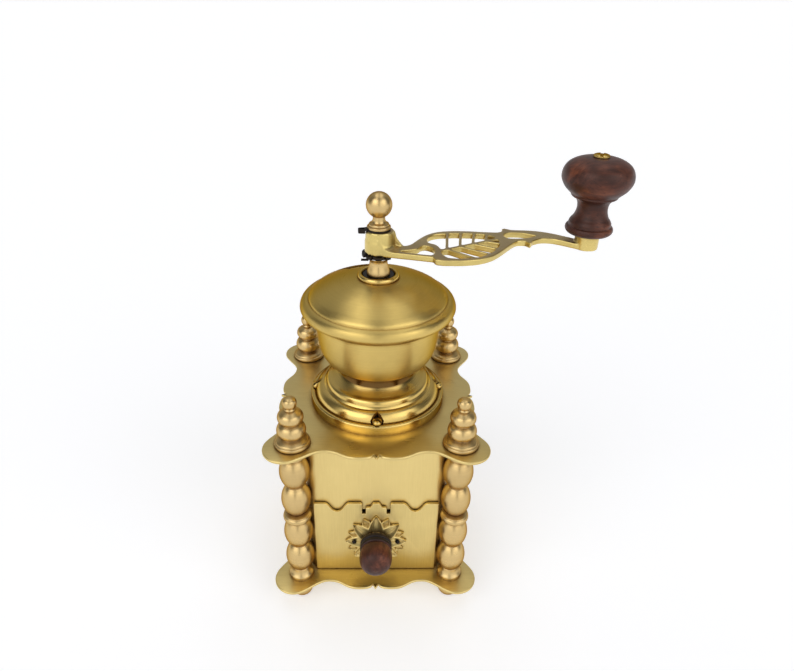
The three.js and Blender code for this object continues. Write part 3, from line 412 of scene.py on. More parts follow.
def combined(base, others, operation):
    """Cuts, joins or intersects a mesh with others."""
    target = as_object(base, "target")
    tools = [as_object(other, f"tool_{i}") for i, other in enumerate(others)]
    for tool in tools:
        step = target.modifiers.new("cut", "BOOLEAN")
        step.operation = operation
        step.solver = "EXACT"
        step.object = tool
    settled(target)
    mesh = bmesh.new()
    mesh.from_mesh(target.data)
    bpy.data.meshes.remove(target.data)
    for tool in tools:
        bpy.data.meshes.remove(tool.data)
    return mesh


def together(meshes):
    """One mesh that holds several, which are used up."""
    whole = bmesh.new()
    for mesh in meshes:
        data = bpy.data.meshes.new("part")
        mesh.to_mesh(data)
        mesh.free()
        whole.from_mesh(data)
        bpy.data.meshes.remove(data)
    return whole


def finish(name):
    """The finish of this name; the frame's own plain materials keep theirs."""
    return bpy.data.materials[f"fine_{name}"]


def piece(name, mesh, body, slot, stands_for, at=(0, 0, 0), turn=0.0, crease=35, look=None):
    """A finished piece: it rides on a body, stands for CAD nodes and takes its slot's finish.

    Where the metal or wood of a piece was worked in its own way, look names that finish.
    """
    made = as_object(mesh, name)
    made.location = at
    made.rotation_euler.z = turn
    made.data.shade_smooth()
    made.data.set_sharp_from_angle(angle=math.radians(crease))
    made.data.materials.append(finish(look or slot))
    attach(made, body)
    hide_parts(*stands_for)
    return made


# Finishes
class Graph:
    """Adds nodes to a material or world and links them by value."""

    def __init__(self, owner, shader="Principled BSDF"):
        owner.use_nodes = True
        self.tree = owner.node_tree
        self.shader = self.tree.nodes[shader]

    def add(self, kind, inputs=None, **settings):
        node = self.tree.nodes.new(kind)
        for key, value in settings.items():
            setattr(node, key, value)
        self.feed(node, inputs or {})
        return node

    def feed(self, node, inputs):
        for key, value in inputs.items():
            if isinstance(value, bpy.types.NodeSocket):
                self.tree.links.new(value, node.inputs[key])
            else:
                node.inputs[key].default_value = value

    def noise(self, vector, scale, detail=3.0, roughness=0.5):
        values = {"Vector": vector, "Scale": scale, "Detail": detail, "Roughness": roughness}
        return self.add("ShaderNodeTexNoise", values).outputs["Fac"]

    def math(self, operation, a, b=0.0):
        return self.add("ShaderNodeMath", {0: a, 1: b}, operation=operation).outputs[0]

    def vector(self, operation, a, b, output=0):
        return self.add("ShaderNodeVectorMath", {0: a, 1: b}, operation=operation).outputs[output]

    def span(self, value, low, high, start, end):
        values = {"Value": value, "From Min": low, "From Max": high, "To Min": start, "To Max": end}
        return self.add("ShaderNodeMapRange", values).outputs[0]

    def blend(self, share, a, b):
        values = {0: share, 2: a, 3: b}
        return self.add("ShaderNodeMix", values, data_type="FLOAT").outputs[0]

    def mix(self, share, a, b):
        node = self.add("ShaderNodeMix", data_type="RGBA")
        self.feed(node, {0: share, 6: a, 7: b})
        return node.outputs[2]

    def bump(self, height, strength, distance, normal=None):
        values = {"Height": height, "Strength": strength, "Distance": distance}
        if normal:
            values["Normal"] = normal
        return self.add("ShaderNodeBump", values).outputs[0]


def lathe_lines(graph, place, fineness):
    """Noise that runs around the turning axis."""
    flat = graph.vector("MULTIPLY", place, (1, 1, 0))
    radius = graph.add("ShaderNodeVectorMath", {0: flat}, operation="LENGTH").outputs["Value"]
    height = graph.add("ShaderNodeSeparateXYZ", {0: place}).outputs["Z"]
    across = graph.add("ShaderNodeCombineXYZ", {"X": radius, "Z": height}).outputs[0]
    return graph.noise(across, fineness, 4.0, 0.65)


def brush_lines(graph, place, stretch, fineness):
    """Noise drawn out into the scratches of a brush."""
    return graph.noise(graph.vector("MULTIPLY", place, stretch), fineness, 4.0, 0.6)


def brass(name, base, tarnish_and_shade, wear, roughness, lines, bump, patches, shade_reach, throat=None, top_shade=None):
    """Brass with tarnished patches and crevices, painted shade in hollows and under overhangs, rubbed edges,
    and fine lines from its making.

    A throat is the two heights between which a band of painted shade comes in, for the shade under the
    hopper's bowl; the colour after it is that of the painted shade on faces that look up.
    """
    graph = Graph(bpy.data.materials.new(f"fine_{name}"))
    place = graph.add("ShaderNodeTexCoord").outputs["Object"]
    surface = graph.add("ShaderNodeNewGeometry").outputs
    marks = lines(graph, place)
    stains = graph.noise(place, 38.0, 5.0, 0.6)
    specks = graph.noise(place, 420.0, 3.0, 0.6)
    open_sky = graph.add("ShaderNodeAmbientOcclusion", {"Distance": shade_reach}, samples=6).outputs["AO"]
    dull = tuple(0.72 * part for part in base)
    bright = tuple(min(1, 1.12 * part + 0.02) for part in base)
    stained = graph.span(stains, 0.38, 0.68, 0.0, patches)
    lined = graph.span(marks, 0.3, 0.7, 0.0, 0.1)
    rubbed = graph.span(surface["Pointiness"], 0.515, 0.56, 0.0, wear)
    hollow = graph.span(surface["Pointiness"], 0.43, 0.475, 0.75, 0.0)
    body = graph.mix(stained, (*base, 1), (*dull, 1))
    body = graph.mix(lined, body, (*tarnish_and_shade, 1))
    body = graph.mix(rubbed, body, (*bright, 1))
    body = graph.mix(hollow, body, (*tarnish_and_shade, 1))
    # Painted shade: faces that look up are darkened in uneven patches, as though less light fell on them.
    if top_shade:
        upward = graph.add("ShaderNodeSeparateXYZ", {0: surface["True Normal"]}).outputs["Z"]
        patchy = graph.span(stains, 0.3, 0.7, 0.6, 1.0)
        top_shading = graph.math("MULTIPLY", graph.span(upward, 0.6, 0.95, 0.0, 0.9), patchy)
        body = graph.mix(top_shading, body, (*top_shade, 1))
    # Painted shade: a dark band at the neck stands for the shade under the hopper's bowl.
    if throat:
        height = graph.add("ShaderNodeSeparateXYZ", {0: place}).outputs["Z"]
        painted_shade_colour = tuple(0.6 * part for part in tarnish_and_shade)
        body = graph.mix(graph.span(height, *throat, 0.0, 0.95), body, (*painted_shade_colour, 1))
    # Painted shade, with some grime: ambient occlusion darkens hollows, creases and places under overhangs
    # towards the tarnish colour, broken up by specks.
    speckled = graph.span(specks, 0.3, 0.6, 0.6, 1.0)
    grime_and_shade = graph.math("MULTIPLY", graph.span(open_sky, 0.3, 0.85, 0.9, 0.0), speckled)
    body = graph.mix(grime_and_shade, body, (*tarnish_and_shade, 1))
    satin = graph.span(stains, 0.3, 0.7, roughness - 0.05, roughness + 0.07)
    scratched = graph.span(marks, 0.25, 0.75, -0.06, 0.06)
    gloss = graph.math("ADD", graph.math("ADD", satin, scratched), graph.math("MULTIPLY", grime_and_shade, 0.25))
    fine = graph.bump(marks, bump, 0.05 * MM)
    waves = graph.bump(graph.noise(place, 90.0, 2.0, 0.4), 0.12, 0.12 * MM, fine)
    graph.feed(graph.shader, {
        "Base Color": body, "Roughness": gloss, "Normal": waves, "Metallic": 1.0,
    })
    return graph


def make_brasses(finishes):
    """A finish for each way in which the brass was worked."""

    def sheet_lines(graph, place):
        return brush_lines(graph, place, (1, 1, 0.035), 1600.0)

    def plate_lines(graph, place):
        return brush_lines(graph, place, (0.05, 1, 1), 1400.0)

    def turning(graph, place):
        return lathe_lines(graph, place, 1500.0)

    def sand(graph, place):
        return graph.noise(place, 900.0, 4.0, 0.7)

    sheet, spun, polished = finishes.sheet, finishes.spun, finishes.polished
    tarnish_and_shade, wear, top_shade = tuple(finishes.tarnish_and_shade), finishes.wear, tuple(finishes.top_shade)
    foot, bowl = height_of("hopper_flange"), height_of("hopper_bowl")
    # Heights of the painted shade at the foot of the bowl and at the top of the hopper's foot, under the bowl
    bowl_neck_shade, foot_neck_shade = (0.13 * bowl, 0.07 * bowl), (0.8 * foot, 0.87 * foot)
    # Name, colour, wear, roughness, lines, bump, patches, reach of the painted shade in each nook, pull of
    # the lathe lines, and the rest
    for name, base, rub, roughness, lines, bump, patches, shade_reach, pull, rest in (
        ("brushed_brass", sheet, wear, 0.38, sheet_lines, 0.35, 0.25, 2.2 * MM, 0, {}),
        ("plate_brass", sheet, wear, 0.33, plate_lines, 0.18, 0.3, 5 * MM, 0, {}),
        ("spun_brass", spun, wear, 0.34, turning, 0.25, 0.4, 5 * MM, 0.6, {}),
        ("bowl_brass", spun, wear, 0.34, turning, 0.25, 0.4, 5 * MM, 0.6, {"throat": bowl_neck_shade}),
        ("turned_brass", finishes.turned, wear, 0.31, turning, 0.25, 0.4, 4.5 * MM, 0.35, {}),
        ("polished_brass", polished, wear, 0.21, turning, 0.16, 0.35, 9 * MM, 0.3, {}),
        ("flange_brass", polished, wear, 0.21, turning, 0.16, 0.35, 6 * MM, 0.3, {"throat": foot_neck_shade}),
        ("cast_brass", finishes.cast, wear, 0.31, sand, 0.5, 0.6, 9 * MM, 0, {"top_shade": top_shade}),
        ("rosette_brass", sheet, 1.6 * wear, 0.4, sand, 0.3, 0.3, 3 * MM, 0, {}),
    ):
        graph = brass(name, tuple(base), tarnish_and_shade, rub, roughness, lines, bump, patches, shade_reach, **rest)
        if pull:
            around = graph.add("ShaderNodeTangent", direction_type="RADIAL", axis="Z").outputs[0]
            graph.feed(graph.shader, {
                "Anisotropic": pull, "Anisotropic Rotation": 0.25, "Tangent": around,
                "Specular Tint": (*finishes.edge, 1),
            })


def make_metal(name, base, roughness, fineness, bump, patches):
    """Steel or iron: grey metal with duller patches and a fine grain."""
    graph = Graph(bpy.data.materials.new(f"fine_{name}"))
    place = graph.add("ShaderNodeTexCoord").outputs["Object"]
    grain = graph.noise(place, fineness, 5.0, 0.65)
    stains = graph.noise(place, 60.0, 4.0, 0.6)
    rust = tuple(0.5 * part + tint for part, tint in zip(base, (0.03, 0.015, 0.0)))
    body = graph.mix(graph.span(stains, 0.4, 0.7, 0.0, patches), (*base, 1), (*rust, 1))
    gloss = graph.span(grain, 0.3, 0.7, roughness - 0.08, roughness + 0.1)
    graph.feed(graph.shader, {
        "Base Color": body, "Roughness": gloss, "Metallic": 1.0,
        "Normal": graph.bump(grain, bump, 0.1 * MM),
    })


def make_wood(name, finishes, grain, collar=None, highlight_spot=None):
    """Dark stained wood with its grain along the turning axis, under a satin varnish.

    grain scales the figure on each axis, collar is the depth of a blackened collar, and the last the place of
    a painted highlight in the worn colour.
    """
    graph = Graph(bpy.data.materials.new(f"fine_{name}"))
    place = graph.add("ShaderNodeTexCoord").outputs["Object"]
    warp = graph.add("ShaderNodeTexNoise", {"Vector": place, "Scale": 60.0, "Detail": 2.0}).outputs["Color"]
    small = graph.vector("MULTIPLY", warp, (0.006, 0.006, 0.006))
    bent = graph.vector("ADD", place, small)
    long = graph.vector("MULTIPLY", bent, grain)
    figure = graph.noise(long, 330.0, 5.0, 0.65)
    pores = graph.noise(long, 1700.0, 2.0, 0.5)
    clouds = graph.noise(place, 70.0, 3.0, 0.5)
    light, dark, worn = (*finishes.wood_light, 1), (*finishes.wood_dark, 1), (*finishes.wood_worn_and_highlight, 1)
    streaks, drifts = graph.span(figure, 0.33, 0.67, 0.25, 1.0), graph.span(clouds, 0.35, 0.65, 0.3, 1.0)
    body = graph.mix(graph.math("MULTIPLY", streaks, drifts), dark, light)
    streaks, drifts = graph.span(figure, 0.4, 0.7, 0.0, 1.0), graph.span(clouds, 0.52, 0.7, 0.0, 0.5)
    body = graph.mix(graph.math("MULTIPLY", drifts, streaks), body, worn)
    # Painted highlight: a lighter spot in the worn colour on the knob's bulb.
    if highlight_spot:
        away = graph.vector("DISTANCE", bent, highlight_spot, "Value")
        body = graph.mix(graph.span(away, 1.5 * MM, 6 * MM, 0.85, 0.0), body, worn)
    body = graph.mix(graph.span(pores, 0.56, 0.7, 0.0, 0.5), body, dark)
    if collar:
        depth = graph.add("ShaderNodeSeparateXYZ", {0: place}).outputs["Y"]
        fade, soot = 0.4 * MM, (0.008, 0.006, 0.007, 1)
        body = graph.mix(graph.span(depth, -collar - fade, -collar + fade, 0.0, 0.9), body, soot)
    # Painted shade: ambient occlusion darkens the wood in its creases and where it meets other parts.
    open_sky = graph.add("ShaderNodeAmbientOcclusion", {"Distance": 2.5 * MM}, samples=6).outputs["AO"]
    painted_shade_colour = tuple(part * 0.4 for part in dark[:3])
    body = graph.mix(graph.span(open_sky, 0.4, 0.9, 0.75, 0.0), body, (*painted_shade_colour, 1))
    graph.feed(graph.shader, {
        "Base Color": body, "Roughness": graph.span(figure, 0.3, 0.7, 0.46, 0.38),
        "Normal": graph.bump(pores, 0.25, 0.05 * MM), "Specular IOR Level": 0.3,
    })


class GRINDER_OT_finishes(bpy.types.Operator):
    """Mixes the brass, steel, iron and wood finishes"""

    bl_idname = "grinder.finishes"
    bl_label = "Finishes"

    def execute(self, context):
        finishes = context.scene.grinder_finishes
        make_brasses(finishes)
        make_metal("steel", tuple(finishes.steel), 0.32, 700.0, 0.2, 0.3)
        make_metal("black_steel", tuple(finishes.black), 0.42, 500.0, 0.35, 0.5)
        make_metal("cast_iron", tuple(finishes.iron), 0.55, 350.0, 0.6, 0.4)
        make_wood("wood", finishes, (0.22, 1.0, 0.8))
        # The drawer knob's collar depth, and the place of its painted highlight on the upper right of the
        # bulb
        collar, highlight_spot = 0.3 * height_of("drawer_knob"), (0.0065, -0.012, 0.003)
        make_wood("knob_wood", finishes, (1.0, 0.35, 1.0), collar, highlight_spot)
        return {"FINISHED"}


# Stand
def plate_outline(sizes):
    """Four round corners, and on each side a valley, a bulge and a pointed nib in the middle."""
    half = radius_of("top_plate")
    valley_place, bulge_place, notch_place, notch_depth = 31.3 * MM, 11 * MM, 1.8 * MM, 3 * MM
    wrap = math.radians(25)
    lobe = half - sizes.plate_lobe
    start = (lobe - sizes.plate_lobe * math.sin(wrap), lobe + sizes.plate_lobe * math.cos(wrap))
    lean = sizes.plate_lobe * 0.45
    sweep = (valley_place - bulge_place) / 2
    valley, bulge = sizes.plate_valley, sizes.plate_bulge
    right = bezier(
        (bulge_place, bulge), (bulge_place + sweep, bulge),
        (valley_place - sweep, valley), (valley_place, valley),
    )[:-1] + bezier(
        (valley_place, valley), (valley_place + lean, valley),
        (start[0] - lean * math.cos(wrap), start[1] - lean * math.sin(wrap)), start,
    )
    nib = [(0.25 * MM, bulge), (notch_place, bulge - notch_depth)] + [
        (notch_place + (bulge_place - notch_place) * across, bulge - notch_depth * down)
        for across, down in ((0.1, 0.6), (0.2, 0.33), (0.4, 0.14), (0.65, 0.04))
    ]
    right = nib + right
    side = [(-along, out) for along, out in reversed(right)] + right
    points = []
    for quarter in QUARTERS:
        angle = quarter * QUARTER_TURN
        turn = Matrix.Rotation(angle, 2)
        points += [tuple(turn @ Vector((along, -out))) for along, out in side]
        centre = turn @ Vector((lobe, -lobe))
        points += arc(centre, sizes.plate_lobe, angle - QUARTER_TURN - wrap, angle + wrap, 20)[1:-1]
    return points


class GRINDER_OT_plates(bpy.types.Operator):
    """Cuts the two scalloped plates with their rounded edges"""

    bl_idname = "grinder.plates"
    bl_label = "Plates"

    def execute(self, context):
        sizes = context.scene.grinder_stand
        holes = [circle((middle_of(f"column_{name}") - AXIS).xy, ROD_BORE) for name in CORNERS]
        throat = 21.7 * MM
        for node, extra in (("bottom_plate", []), ("top_plate", [circle((0, 0), throat, 64)])):
            mesh = slab(plate_outline(sizes), height_of(node), holes + extra, sizes.sheet_edge, 4)
            piece(f"{node}_fine", mesh, "housing", "brushed_brass", [node], on_axis(node), look="plate_brass")
        return {"FINISHED"}


def rounded_square(half, corner, steps=10):
    flat = half - corner
    points = []
    for quarter in QUARTERS:
        angle = quarter * QUARTER_TURN
        centre = Matrix.Rotation(angle, 2) @ Vector((flat, -flat))
        points += arc(centre, corner, angle - QUARTER_TURN, angle, steps)
    return points


class GRINDER_OT_case(bpy.types.Operator):
    """Makes the case's rounded sheet and cuts its drawer opening"""

    bl_idname = "grinder.case"
    bl_label = "Case"

    def execute(self, context):
        sizes = context.scene.grinder_stand
        node = "case_shell"
        half, wall = half_width_of(node), sizes.case_wall
        gap, lintel = 0.8 * MM, 53.4 * MM
        opening = half_width_of("drawer_box") + gap
        inner = rounded_square(half - wall, sizes.case_corner - wall)
        shell = slab(rounded_square(half, sizes.case_corner), height_of(node), [inner], 0.15 * MM, 1)
        cut = block((-opening, -half - 2 * wall, -MM), (opening, -half + 3 * wall, lintel))
        mesh = combined(shell, [cut], "DIFFERENCE")
        piece("case_fine", mesh, "housing", "brushed_brass", [node], on_axis(node), crease=25)
        return {"FINISHED"}


def bead(neck, radius, low, high, steps=14):
    """An egg shape that is cut off where it meets the necks."""
    cut = math.sqrt(1 - (neck / radius) ** 2)
    shares = [step / steps for step in range(steps + 1)]
    return [
        (radius * math.sqrt(1 - (cut * (2 * share - 1)) ** 2), low + (high - low) * share)
        for share in shares
    ]


class GRINDER_OT_columns(bpy.types.Operator):
    """Turns the four columns with their beads, collar and cap"""

    bl_idname = "grinder.columns"
    bl_label = "Columns"

    def execute(self, context):
        sizes = context.scene.grinder_stand
        neck, crevice = sizes.column_neck, 0.35 * MM
        for name in CORNERS:
            node = f"column_{name}"
            radius, height = radius_of(node), height_of(node)
            ring, cap = radius * 0.865, height - sizes.column_cap
            span = (height - sizes.column_ring - sizes.column_cap - sizes.column_collar) / 4
            collar = sizes.column_ring + 2 * span
            upper = collar + sizes.column_collar
            beads = [
                bead(neck, radius, foot + crevice, foot + span - crevice)
                for foot in (sizes.column_ring, sizes.column_ring + span, upper, upper + span)
            ]
            foot_ring = moulding((neck, 0), (ring, sizes.column_ring), [
                (1, 0), (1, 0.28), (0.86, 0.38), (0.5, 0.55), (0.22, 0.78), (0.1, 1),
            ])
            collar_ring = moulding((neck, collar), (0.965 * radius, upper), [
                (0, 0.03), (0.55, 0.05), (0.88, 0.16), (1, 0.38), (0.93, 0.6), (0.72, 0.74), (0.8, 0.77),
                (0.8, 0.86), (0.5, 0.92), (0, 0.97),
            ])
            cap_ring = moulding((neck, cap), (ring, height), [
                (0, 0.04), (0.7, 0.12), (0.8, 0.24), (0.62, 0.36), (0.2, 0.46), (0.25, 0.6), (0.9, 0.74),
                (1, 0.86), (1, 1),
            ])
            line = profile(
                [(ROD_BORE, 0), (ring, 0)], foot_ring, *beads[:2], collar_ring, *beads[2:],
                cap_ring, [(ring, height), (ROD_BORE, height)], steps=4,
            )
            piece(f"{node}_fine", turned(line), "housing", "turned_brass", [node], foot_of(node))
        return {"FINISHED"}


class GRINDER_OT_finials(bpy.types.Operator):
    """Turns the four stepped finials"""

    bl_idname = "grinder.finials"
    bl_label = "Finials"

    def execute(self, context):
        runs = [
            [(0.26, 0), (0.93, 0)],
            [(0.93, 0), (0.99, 0.02), (1, 0.045), (0.97, 0.075), (0.9, 0.085)],
            [(0.9, 0.085), (0.86, 0.11), (0.72, 0.14), (0.58, 0.165), (0.5, 0.19)],
            [(0.5, 0.19), (0.64, 0.205), (0.76, 0.25), (0.8, 0.31), (0.77, 0.37), (0.67, 0.43), (0.5, 0.475)],
            [(0.5, 0.475), (0.5, 0.49), (0.61, 0.51), (0.69, 0.56), (0.7, 0.62), (0.62, 0.68),
             (0.45, 0.725), (0.3, 0.75)],
            [(0.3, 0.75), (0.31, 0.775), (0.26, 0.8)],
            [(0.26, 0.8), (0.34, 0.825), (0.39, 0.88), (0.38, 0.935), (0.3, 0.977), (0.15, 0.996), (0, 1)],
        ]
        depth = 12.3 * MM
        for name in CORNERS:
            node = f"finial_{name}"
            radius, height = radius_of(node), height_of(node)
            scaled = [[(across * radius, up * height) for across, up in run] for run in runs]
            shell = profile([(ROD_BORE, 0), scaled[0][1]], *scaled[1:])
            line = [(0, depth), (ROD_BORE, depth), *shell]
            piece(f"{node}_fine", turned(line), "housing", "turned_brass", [node], foot_of(node))
        return {"FINISHED"}


class GRINDER_OT_feet(bpy.types.Operator):
    """Turns the four bun feet"""

    bl_idname = "grinder.feet"
    bl_label = "Feet"

    def execute(self, context):
        shares = [(0.47, 0), (0.7, 0.03), (0.86, 0.12), (1, 0.33), (0.97, 0.55), (0.8, 0.72), (0.64, 0.82)]
        for name in CORNERS:
            node = f"foot_{name}"
            radius, height = radius_of(node), height_of(node)
            bun = [(across * radius, up * height) for across, up in shares]
            ring = moulding((0, 0), (radius, height), [(0.64, 0.82), (0.82, 0.86), (0.86, 0.93), (0.85, 1)])
            line = profile([(0, 0), bun[0]], bun, ring, [ring[-1], (0, height)])
            piece(f"{node}_fine", turned(line), "housing", "turned_brass", [node], foot_of(node))
        return {"FINISHED"}


# Hopper and lid
def slotted_screw(radius, height, turn, shank, reach, steps=40):
    """A round screw with a domed, slotted head that stands on level 0."""
    side = 0.4 * height
    dome = [(radius, side), (0.9 * radius, 0.68 * height), (0.6 * radius, 0.9 * height), (0, height)]
    line = profile(
        [(0, -reach), (shank, -reach)], [(shank, -reach), (shank, 0)], [(shank, 0), (radius, 0)],
        [(radius, 0), (radius, side)], dome,
    )
    slot, bottom = 0.2 * radius, 0.45 * height
    cut = block((-2 * radius, -slot, bottom), (2 * radius, slot, 2 * height))
    mesh = combined(turned(line, steps), [cut], "DIFFERENCE")
    return moved(mesh, turn=Matrix.Rotation(turn, 3, "Z"))


class GRINDER_OT_flange(bpy.types.Operator):
    """Turns the moulded foot of the hopper and sets its four slotted screws"""

    bl_idname = "grinder.flange"
    bl_label = "Hopper foot"

    def execute(self, context):
        sizes = context.scene.grinder_hopper
        node = "hopper_flange"
        radius, height = radius_of(node), height_of(node)
        outer, neck = (radius, 0), (sizes.neck, height)
        wall, rounding, cove, step, throat = (moulding(outer, neck, shares) for shares in (
            [(0, 0), (0, 0.2)],
            [(0, 0.2), (0.015, 0.24), (0.07, 0.265), (0.125, 0.26), (0.16, 0.245)],
            [(0.16, 0.245), (0.168, 0.3), (0.22, 0.385), (0.32, 0.465), (0.43, 0.5), (0.52, 0.5)],
            [(0.52, 0.5), (0.53, 0.57), (0.56, 0.63), (0.6, 0.665), (0.64, 0.68)],
            [(0.64, 0.68), (0.74, 0.71), (0.86, 0.765), (0.95, 0.82), (1, 0.865)],
        ))
        bore = sizes.neck - sizes.wall
        inside = [(bore, height), (bore, 0.76 * height), (0.8 * radius, 0.5 * height), (radius - 5.7 * MM, 0)]
        line = profile(
            wall, rounding, cove, step, throat, [throat[-1], neck], [neck, inside[0]],
            inside[:2], inside[1:], [inside[-1], outer],
        )
        pulled_in, head, proud = 0.97, 2.2 * MM, 1.7 * MM
        corner, sunk = 1.42 * sizes.screw_head + 0.3 * MM, 1.9 * MM
        seats = []
        for screw in SCREWS:
            centre = middle_of(screw) - AXIS
            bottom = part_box(screw)[1].z - DECK - sunk
            seat = turned([(0, bottom), (corner, bottom), (corner, height), (0, height)], 4)
            seats.append(moved(seat, (pulled_in * centre.x, pulled_in * centre.y, 0)))
        mesh = combined(turned(line, 160), seats, "DIFFERENCE")
        at = (AXIS.x, AXIS.y, DECK)
        piece(f"{node}_fine", mesh, "housing", "polished_brass", [node], at, crease=40, look="flange_brass")
        for quarter, screw in enumerate(SCREWS):
            low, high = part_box(screw)
            turn = (quarter + 0.5) * QUARTER_TURN
            mesh = slotted_screw(1.12 * sizes.screw_head, head, turn, 1.5 * MM, high.z - head - low.z)
            centre = AXIS.lerp(middle_of(screw), pulled_in)
            at = (centre.x, centre.y, high.z - head + proud)
            piece(f"{screw}_fine", mesh, "housing", "polished_brass", [screw], at)
        return {"FINISHED"}


class GRINDER_OT_bowl(bpy.types.Operator):
    """Spins the hopper's bowl with its rounded rim"""

    bl_idname = "grinder.bowl"
    bl_label = "Bowl"

    def execute(self, context):
        sizes = context.scene.grinder_hopper
        node = "hopper_bowl"
        radius, height = radius_of(node), height_of(node)
        under = height - sizes.rim
        neck = (sizes.neck, 0)
        body = moulding(neck, (sizes.bowl, under), [
            (0, 0.1), (0.14, 0.105), (0.32, 0.13), (0.52, 0.19), (0.69, 0.285), (0.83, 0.43),
            (0.917, 0.62), (0.972, 0.836), (1, 1),
        ])
        rim = moulding((sizes.bowl, under), (radius, height), [
            (0, 0), (0.04, 0.1), (0.15, 0.2), (0.36, 0.3), (0.64, 0.39), (0.88, 0.49), (1, 0.62),
            (0.98, 0.75), (0.9, 0.87), (0.78, 0.95), (0.62, 1),
        ])
        inner = sizes.bowl - sizes.wall
        mouth = [(sizes.mouth, height), (sizes.mouth, under + 0.3 * sizes.rim)]
        inside = moulding((sizes.neck - sizes.wall, 0), (inner, under), [
            (1, 0.98), (0.97, 0.84), (0.91, 0.64), (0.82, 0.46), (0.66, 0.32), (0.46, 0.22),
            (0.24, 0.17), (0.06, 0.15), (0, 0.12), (0, 0),
        ])
        line = profile(
            [neck, body[0]], body, rim, [rim[-1], mouth[0]], mouth, [mouth[1], inside[0]],
            inside, [inside[-1], neck],
        )
        mesh = turned(line, 160)
        piece(f"{node}_fine", mesh, "housing", "brushed_brass", [node], foot_of(node), look="bowl_brass")
        return {"FINISHED"}


DOME_SHARES = [
    (1, 0), (0.985, 0.12), (0.95, 0.24), (0.896, 0.375), (0.778, 0.58), (0.637, 0.77),
    (0.472, 0.92), (0.33, 1),
]


def dome_line(radius, rise, start, end, drop):
    """The crown's line between two radii, lowered by drop."""
    line = through([(across * radius, up * rise) for across, up in DOME_SHARES], 10)
    kept = [(r, z - drop) for r, z in line if end < r < start]

    def at(place):
        for (r1, z1), (r2, z2) in zip(line, line[1:]):
            if r2 <= place <= r1:
                return (place, z1 + (z2 - z1) * (r1 - place) / (r1 - r2) - drop)
        return (place, line[-1][1] - drop)

    return [at(start), *kept, at(end)]


def fan(inner, outer, middle, angle, low, height, steps=24):
    """A sector of a disc as a tall block."""
    start, end = middle - angle / 2, middle + angle / 2
    outline = arc((0, 0), outer, start, end, steps) + arc((0, 0), inner, end, start, steps)
    return moved(slab(outline, height, edge=0.05 * MM, steps=1), (0, 0, low))


class GRINDER_OT_lid(bpy.types.Operator):
    """Spins the lid with its fan-shaped opening, and the hatch that turns under it"""

    bl_idname = "grinder.lid"
    bl_label = "Lid and hatch"

    def execute(self, context):
        sizes = context.scene.grinder_hopper
        node = "lid_dome"
        radius = radius_of(node)
        low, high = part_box(node)
        wall, gap, ring_wall = 1.2 * MM, 0.3 * MM, 1.5 * MM
        rise = high.z - low.z - sizes.spigot
        bore = radius_of("dome_bush") - 1.9 * MM + gap
        outside = sizes.mouth - gap
        crown = dome_line(radius, rise, radius, bore, 0)
        under = dome_line(radius, rise, 0.93 * radius, bore, wall)[::-1]
        inside = outside - ring_wall
        spigot = [(inside, 0.22 * rise), (inside, -sizes.spigot), (outside, -sizes.spigot)]
        line = [(outside, 0), (radius, 0), *crown[1:], *under, *spigot]
        middle = sizes.opening_middle
        cut = fan(sizes.opening_inner, sizes.opening_outer, middle, sizes.opening_angle, -rise, 3 * rise)
        mesh = combined(turned(line, 160), [cut], "DIFFERENCE")
        at = (AXIS.x, AXIS.y, low.z + sizes.spigot)
        piece(f"{node}_fine", mesh, "housing", "brushed_brass", [node], at, crease=40, look="spun_brass")

        outer, ring, sheet, slack = 37.4 * MM, bore + 5 * MM, 0.9 * MM, 0.35 * MM
        top = dome_line(radius, rise, outer, bore, wall + slack)
        layer = turned([*top, *[(r, z - sheet) for r, z in reversed(top)]], 160)
        spread = sizes.opening_angle + math.radians(6)
        start, end = middle - spread / 2, middle + spread / 2
        outline = arc((0, 0), outer + MM, start, end, 24) + arc((0, 0), ring, end, start + 2 * math.pi, 60)
        column = moved(slab(outline, 3 * rise, edge=0.05 * MM, steps=1), (0, 0, -rise))
        shape = combined(layer, [column], "INTERSECT")
        piece("hatch_fine", shape, "hatch", "brushed_brass", ["hatch"], at, crease=40, look="spun_brass")

        node = "hatch_knob"
        knob, tall = radius_of(node), height_of(node)
        tail = 5 * MM
        runs = [
            [(0, 0), (0.5 * knob, 0)], [(0.5 * knob, 0), (0.5 * knob, tail)],
            moulding((0, tail), (knob, tall), [(0.5, 0), (0.6, 0.04), (0.52, 0.3), (0.6, 0.45)]),
            moulding((0, tail), (knob, tall), [
                (0.6, 0.45), (0.9, 0.52), (1, 0.7), (0.85, 0.9), (0.5, 0.98), (0, 1),
            ]),
        ]
        piece("hatch_knob_fine", turned(profile(*runs), 48), "hatch", "polished_brass", [node], foot_of(node))
        return {"FINISHED"}


